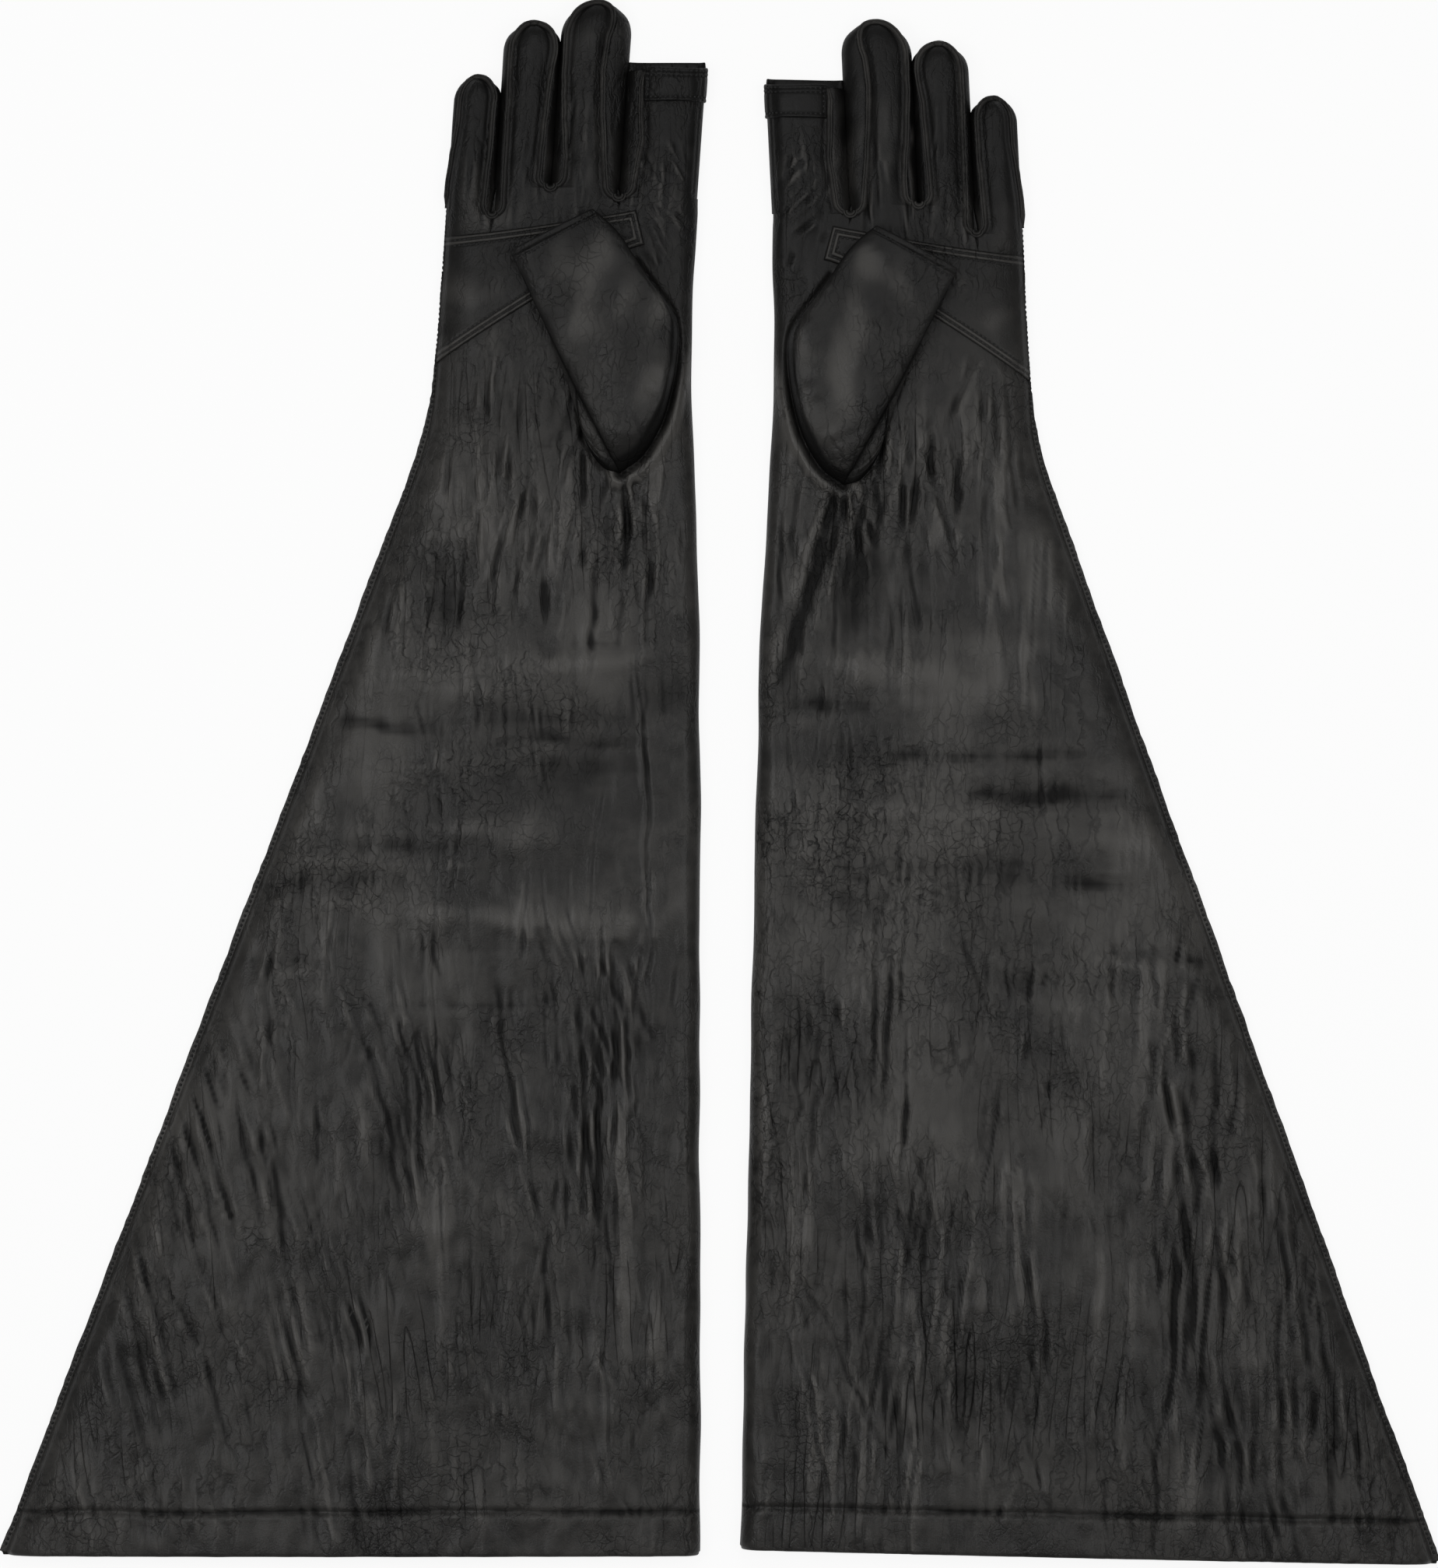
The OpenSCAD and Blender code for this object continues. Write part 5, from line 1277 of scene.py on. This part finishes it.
def thumb(glove):
    """The thumb, sewn into the palm round its root and folded over it."""
    count = 64
    root_in, root_out = curve(ROOT_INNER, count), curve(ROOT_OUTER, count)
    s = (1 - np.cos(np.linspace(0, math.pi, count))) / 2
    even = np.linspace(0, 1, count)
    c_in, c_out = [np.stack([np.interp(s, even, line[:, k]) for k in (0, 1)], 1) for line in (root_in, root_out)]
    mouth = THUMB_END_LOW + s[:, None] * (THUMB_END_HIGH - THUMB_END_LOW)
    free = (THUMB_END_HIGH - np.array(ROOT_INNER[-1]))
    free /= np.linalg.norm(free)
    swell_dir = np.array([-free[1], free[0]])
    z_in = on_palm(glove, *c_in.T, -0.2)[:, 2]
    z_out = on_palm(glove, *c_out.T, 0.1)[:, 2]
    edge_z, up_h, down_h = 18.2, 4.6, 3.4    # of the side edges, and how far the two sides swell above and below them
    # how much the leather swells from edge to edge
    rnd = (1 - np.abs(2 * s - 1) ** 3.2) ** (1 / 3.2)
    run_in, run_out = [np.linalg.norm(mouth - root, axis=1) for root in (c_in, c_out)]
    # how far from the root the leather reaches the height of the edges
    rise_in = lerp(20, 3.6, ramp(s / 0.4) ** 0.6)
    t_rows = np.concatenate([np.linspace(0, 0.08, 16), np.linspace(0.08, 0.3, 24)[1:],
                             np.linspace(0.3, 0.92, 38)[1:], np.linspace(0.92, 1, 16)[1:]])
    seed = glove.seed + 200

    def plan_at(root, t):
        """Seen from above, with both long edges bowed."""
        bow = math.sin(math.pi * t) * (1.6 * s ** 4 - 0.8 * (1 - s) ** 6)
        return lerp(root, mouth, t) + bow[:, None] * swell_dir

    def top(t):
        """The side that faces up, a share of the way from the root to the end."""
        plan = plan_at(c_in, t)
        far = t * run_in
        z = z_in + (edge_z - z_in) * quarter(far / rise_in) + up_h * rnd * quarter(far / 15)
        along, aside = plan @ FOLD_DIR, plan @ FOLD_OUT
        w = 1.3 * folds(lattice_noise(along / 8.5, aside / 30, seed)) * bell(far - 12, 14)
        w = w + 1.5 * lattice_noise(along / 17, aside / 22, seed + 1)
        w = w + 0.28 * folds(lattice_noise(along / 4.3, aside / 11, seed + 2))
        w = w * ramp(far / 9) * rnd ** 2
        hem = run_in - far    # the hem is turned in and sewn down
        w = w + (0.35 * ramp((2.2 - hem) / 0.8) - 0.35 * bell(hem - THUMB_ROW, 0.5)) * ramp(far / 4)
        return np.column_stack([plan, z + w])

    def bottom(t):
        """The side that lies over the palm, a share of the way from the root to the end."""
        far = t * run_out
        z = z_out + (edge_z - z_out) * quarter(far / rise_in) - down_h * rnd * quarter(far / 6)
        roll = 2.0 * bell(far - 4.0, 2.6) * ramp(s / 0.1) * ramp((0.62 - s) / 0.2)
        z = np.maximum(z, lerp(z_out + 0.2, 14.7, quarter(far / 5))) + roll * ramp((0.7 - s) / 0.3)
        return np.column_stack([plan_at(c_out, t), z])

    def ring(t, depth=0.0, shift=0.0):
        """One ring of points round the thumb, that far inside the leather and past the end."""
        a, b = top(t), bottom(t)
        if depth:
            mid = (a[:, 2] + b[:, 2]) / 2
            a[:, 2], b[:, 2] = np.maximum(a[:, 2] - depth, mid + 0.1), np.minimum(b[:, 2] + depth, mid - 0.1)
            centre = a[:, :2].mean(0)
            for half in (a, b):
                half[:, :2] = centre + (half[:, :2] - centre) * (1 - depth / 18)
        both_sides = np.vstack([a, b[::-1][1:-1]])
        both_sides[:, :2] += shift * np.array([math.sin(THUMB_END_TURN), math.cos(THUMB_END_TURN)])
        return both_sides

    turned_in = [(1.0, 0.25, 0.5), (1.0, 0.9, 0.7), (1.0, 1.6, 0.5), (0.995, 2.0), (0.94, 2.1), (0.9, 2.0),
                 (0.88, 1.2), (0.7, 1.2), (0.5, 1.4)]
    grid = np.array([ring(t) for t in t_rows] + [ring(*row) for row in turned_in])
    shape = Shape()
    hem = (1 - np.append(t_rows, np.full(len(turned_in), 2.0)))[:, None] * THUMB_RUN
    flat = grid[..., :2] @ np.stack([FOLD_DIR, FOLD_OUT], 1)
    # painted light on the thumb: a painted highlight over its middle, painted shade towards its edges, at its root and
    # along its row of stitches
    middle = np.concatenate([rnd, rnd[::-1][1:-1]]) ** 2
    shade = 0.9 * lattice_noise(flat[..., 0] / 24, flat[..., 1] / 13, seed + 5) * middle + 1.0 * middle - 0.75
    far = (1 - hem / THUMB_RUN) * np.concatenate([run_in, run_out[::-1][1:-1]])
    shade = shade * ramp(hem / 8) - 0.25 * bell(hem - THUMB_ROW, 0.6) - 1.2 * (1 - ramp((far - 1.5) / 5))
    start = shape.grid(grid, closed_cols=True, turned=True, relief=np.clip(shade, -1.0, 1.0))
    shape.caps(start, *grid.shape[:2], turned=True)
    piece = shape.build(glove, "thumb_leather", finish("glove_leather"))
    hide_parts(glove.side + "_thumb_gusset", glove.side + "_thumb_stall", glove.side + "_thumb_hem")
    foot = (THUMB_LOW + THUMB_HIGH) / 2
    bend_from, bend_to = foot + 1.0 * FOLD_OUT, foot + 13.0 * FOLD_OUT
    glove.point(*bend_from, 20)
    glove.point(*bend_to, 20)
    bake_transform(piece)

    shape = Shape()
    row = 1 - THUMB_ROW / THUMB_RUN
    sew(shape, top(row)[3:-3], UP, seed=seed)
    sew(shape, bottom(row)[3:-3][::-1], -UP, seed=seed + 1)
    piece = shape.build(glove, "thumb_stitches", finish("waxed_thread"))
    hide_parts(glove.side + "_thumb_thread")
    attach(piece, glove.side + "_thumb")


# ---- The stage ----
def stage(scene):
    """A pale floor, three soft lamps and a camera straight above."""
    low, high = [np.array(corner) for corner in CAD_BOX]
    centre = (low + high) / 2
    bpy.ops.object.select_all(action="DESELECT")
    bpy.ops.mesh.primitive_plane_add(size=12, location=(centre[0], centre[1], -0.0004))
    floor = bpy.context.object
    floor.name = "floor"
    bpy.ops.object.transform_apply(location=True)
    f = Finish("pale_floor")
    f.surface(Base_Color=(*scene.glove_colours.floor[:3], 1.0), Roughness=0.95, Specular_IOR_Level=0.0)
    seen = f.node("ShaderNodeLightPath", {}, out="Is Camera Ray")
    glow = f.node("ShaderNodeEmission", {}, Color=(1, 1, 1, 1), Strength=1.0)
    floor.data.materials.append(f.over(seen * 0.89, glow))

    def lamp(name, size, place, power, turn=(0, 0, 0)):
        data = bpy.data.lights.new(name, "AREA")
        data.shape, data.size, data.energy = "DISK", size, power
        made = bpy.data.objects.new(name, data)
        made.location, made.rotation_euler = place, turn
        scene.collection.objects.link(made)

    for name, side in (("softbox_left", -1), ("softbox_right", 1)):
        lamp(name, 1.1, (centre[0] + side * 0.8, centre[1] - 0.01, 1.75), 10.5 - side * 1.6,
             (math.radians(2), side * math.radians(24), 0))
    lamp("softbox_top", 1.0, (centre[0], centre[1] + 1.15, 1.6), 7, (math.radians(-36), 0, 0))
    world = bpy.data.worlds.new("room")
    scene.world = world
    world.use_nodes = True
    background = world.node_tree.nodes["Background"].inputs
    background["Color"].default_value = (1, 1, 1, 1)
    background["Strength"].default_value = 0.22
    scene.view_settings.view_transform = "Standard"
    data = bpy.data.cameras.new("camera")
    camera = bpy.data.objects.new("camera", data)
    scene.collection.objects.link(camera)
    scene.camera = camera
    distance, leather, wide = 3.2, 0.012, 0.5544    # of the camera and the leather above the table; width of the view
    data.sensor_width = 36
    data.sensor_fit = "HORIZONTAL"
    data.lens = data.sensor_width * (distance - leather) / wide
    camera.location = (centre[0] - 0.0003, centre[1] - 0.0007, distance)
    data.clip_start, data.clip_end = 0.1, 20


# ---- Operators and panel ----
class GloveSizes(bpy.types.PropertyGroup):
    """Sizes of the details"""
    crease_depth: FloatProperty(name="Crease depth", description="Depth of the long creases",
                                default=0.0009, unit="LENGTH")
    ridge_height: FloatProperty(name="Outseam height", description="How far the raw outseams stand up",
                                default=0.0019, unit="LENGTH")
    stitch_pitch: FloatProperty(name="Stitch pitch", description="Start of one stitch to the next",
                                default=0.002, unit="LENGTH")
    thread: FloatProperty(name="Thread", description="Thickness of the sewing thread", default=0.0009,
                          unit="LENGTH")


class GloveColours(bpy.types.PropertyGroup):
    """Colours of the finishes"""
    leather: FloatVectorProperty(name="Leather", description="Colour of the leather", subtype="COLOR",
                                 default=(0.015, 0.0145, 0.0138))
    # this colour serves as it is for the mottled wear, and scaled up for the painted sheen and the painted highlights
    # on the crests
    worn_and_highlight: FloatVectorProperty(name="Worn leather", description="Leather where it has rubbed",
                              subtype="COLOR", default=(0.034, 0.0325, 0.0303))
    thread: FloatVectorProperty(name="Thread", description="Colour of the sewing thread", subtype="COLOR",
                                default=(0.0015, 0.0015, 0.0015))
    floor: FloatVectorProperty(name="Floor", description="Colour of the floor", subtype="COLOR",
                               default=(0.9, 0.9, 0.9))


def both(make):
    """Makes a piece for either glove."""
    for side in ("right", "left"):
        make(Glove(side))
    return {"FINISHED"}


class GLOVES_OT_trank(bpy.types.Operator):
    """Makes the cuff and hand of both gloves"""
    bl_idname, bl_label = "gloves.trank", "Cuff and hand"

    def execute(self, context):
        return both(trank)


class GLOVES_OT_side_seam(bpy.types.Operator):
    """Sews the outer seam of both gloves"""
    bl_idname, bl_label = "gloves.side_seam", "Side seam"

    def execute(self, context):
        return both(side_seam)


class GLOVES_OT_fingers(bpy.types.Operator):
    """Makes the closed fingers and their outseams"""
    bl_idname, bl_label = "gloves.fingers", "Fingers"

    def execute(self, context):
        return both(lambda glove: [closed_finger(glove, finger) for finger in FINGERS[:3]])


class GLOVES_OT_index(bpy.types.Operator):
    """Makes the open index fingers and their bands"""
    bl_idname, bl_label = "gloves.index", "Index fingers"

    def execute(self, context):
        return both(index_stall)


class GLOVES_OT_crotches(bpy.types.Operator):
    """Closes the seams between the fingers"""
    bl_idname, bl_label = "gloves.crotches", "Seam ends"

    def execute(self, context):
        return both(crotches)


class GLOVES_OT_patch(bpy.types.Operator):
    """Makes the palm patches"""
    bl_idname, bl_label = "gloves.patch", "Palm patches"

    def execute(self, context):
        return both(patch)


class GLOVES_OT_thumb(bpy.types.Operator):
    """Makes the thumbs"""
    bl_idname, bl_label = "gloves.thumb", "Thumbs"

    def execute(self, context):
        return both(thumb)


class GLOVES_OT_stage(bpy.types.Operator):
    """Makes the floor, the lights and the camera"""
    bl_idname, bl_label = "gloves.stage", "Stage"

    def execute(self, context):
        stage(context.scene)
        return {"FINISHED"}


STEPS = [GLOVES_OT_trank, GLOVES_OT_side_seam, GLOVES_OT_fingers, GLOVES_OT_index, GLOVES_OT_crotches,
         GLOVES_OT_patch, GLOVES_OT_thumb, GLOVES_OT_stage]


class GLOVES_PT_panel(bpy.types.Panel):
    """Lists the steps"""
    bl_label, bl_space_type, bl_region_type, bl_category = "Gloves", "VIEW_3D", "UI", "Gloves"

    def draw(self, context):
        for group in (context.scene.glove_sizes, context.scene.glove_colours):
            for key in group.__annotations__:
                self.layout.prop(group, key)
        for step in STEPS:
            self.layout.operator(step.bl_idname)


CLASSES = [GloveSizes, GloveColours, *STEPS, GLOVES_PT_panel]


def register():
    for item in CLASSES:
        bpy.utils.register_class(item)
    bpy.types.Scene.glove_sizes = PointerProperty(type=GloveSizes)
    bpy.types.Scene.glove_colours = PointerProperty(type=GloveColours)


def unregister():
    del bpy.types.Scene.glove_sizes, bpy.types.Scene.glove_colours
    for item in reversed(CLASSES):
        bpy.utils.unregister_class(item)


def main():
    register()
    for step in STEPS:
        group, name = step.bl_idname.split(".")
        getattr(getattr(bpy.ops, group), name)()


if __name__ == "__main__":
    main()
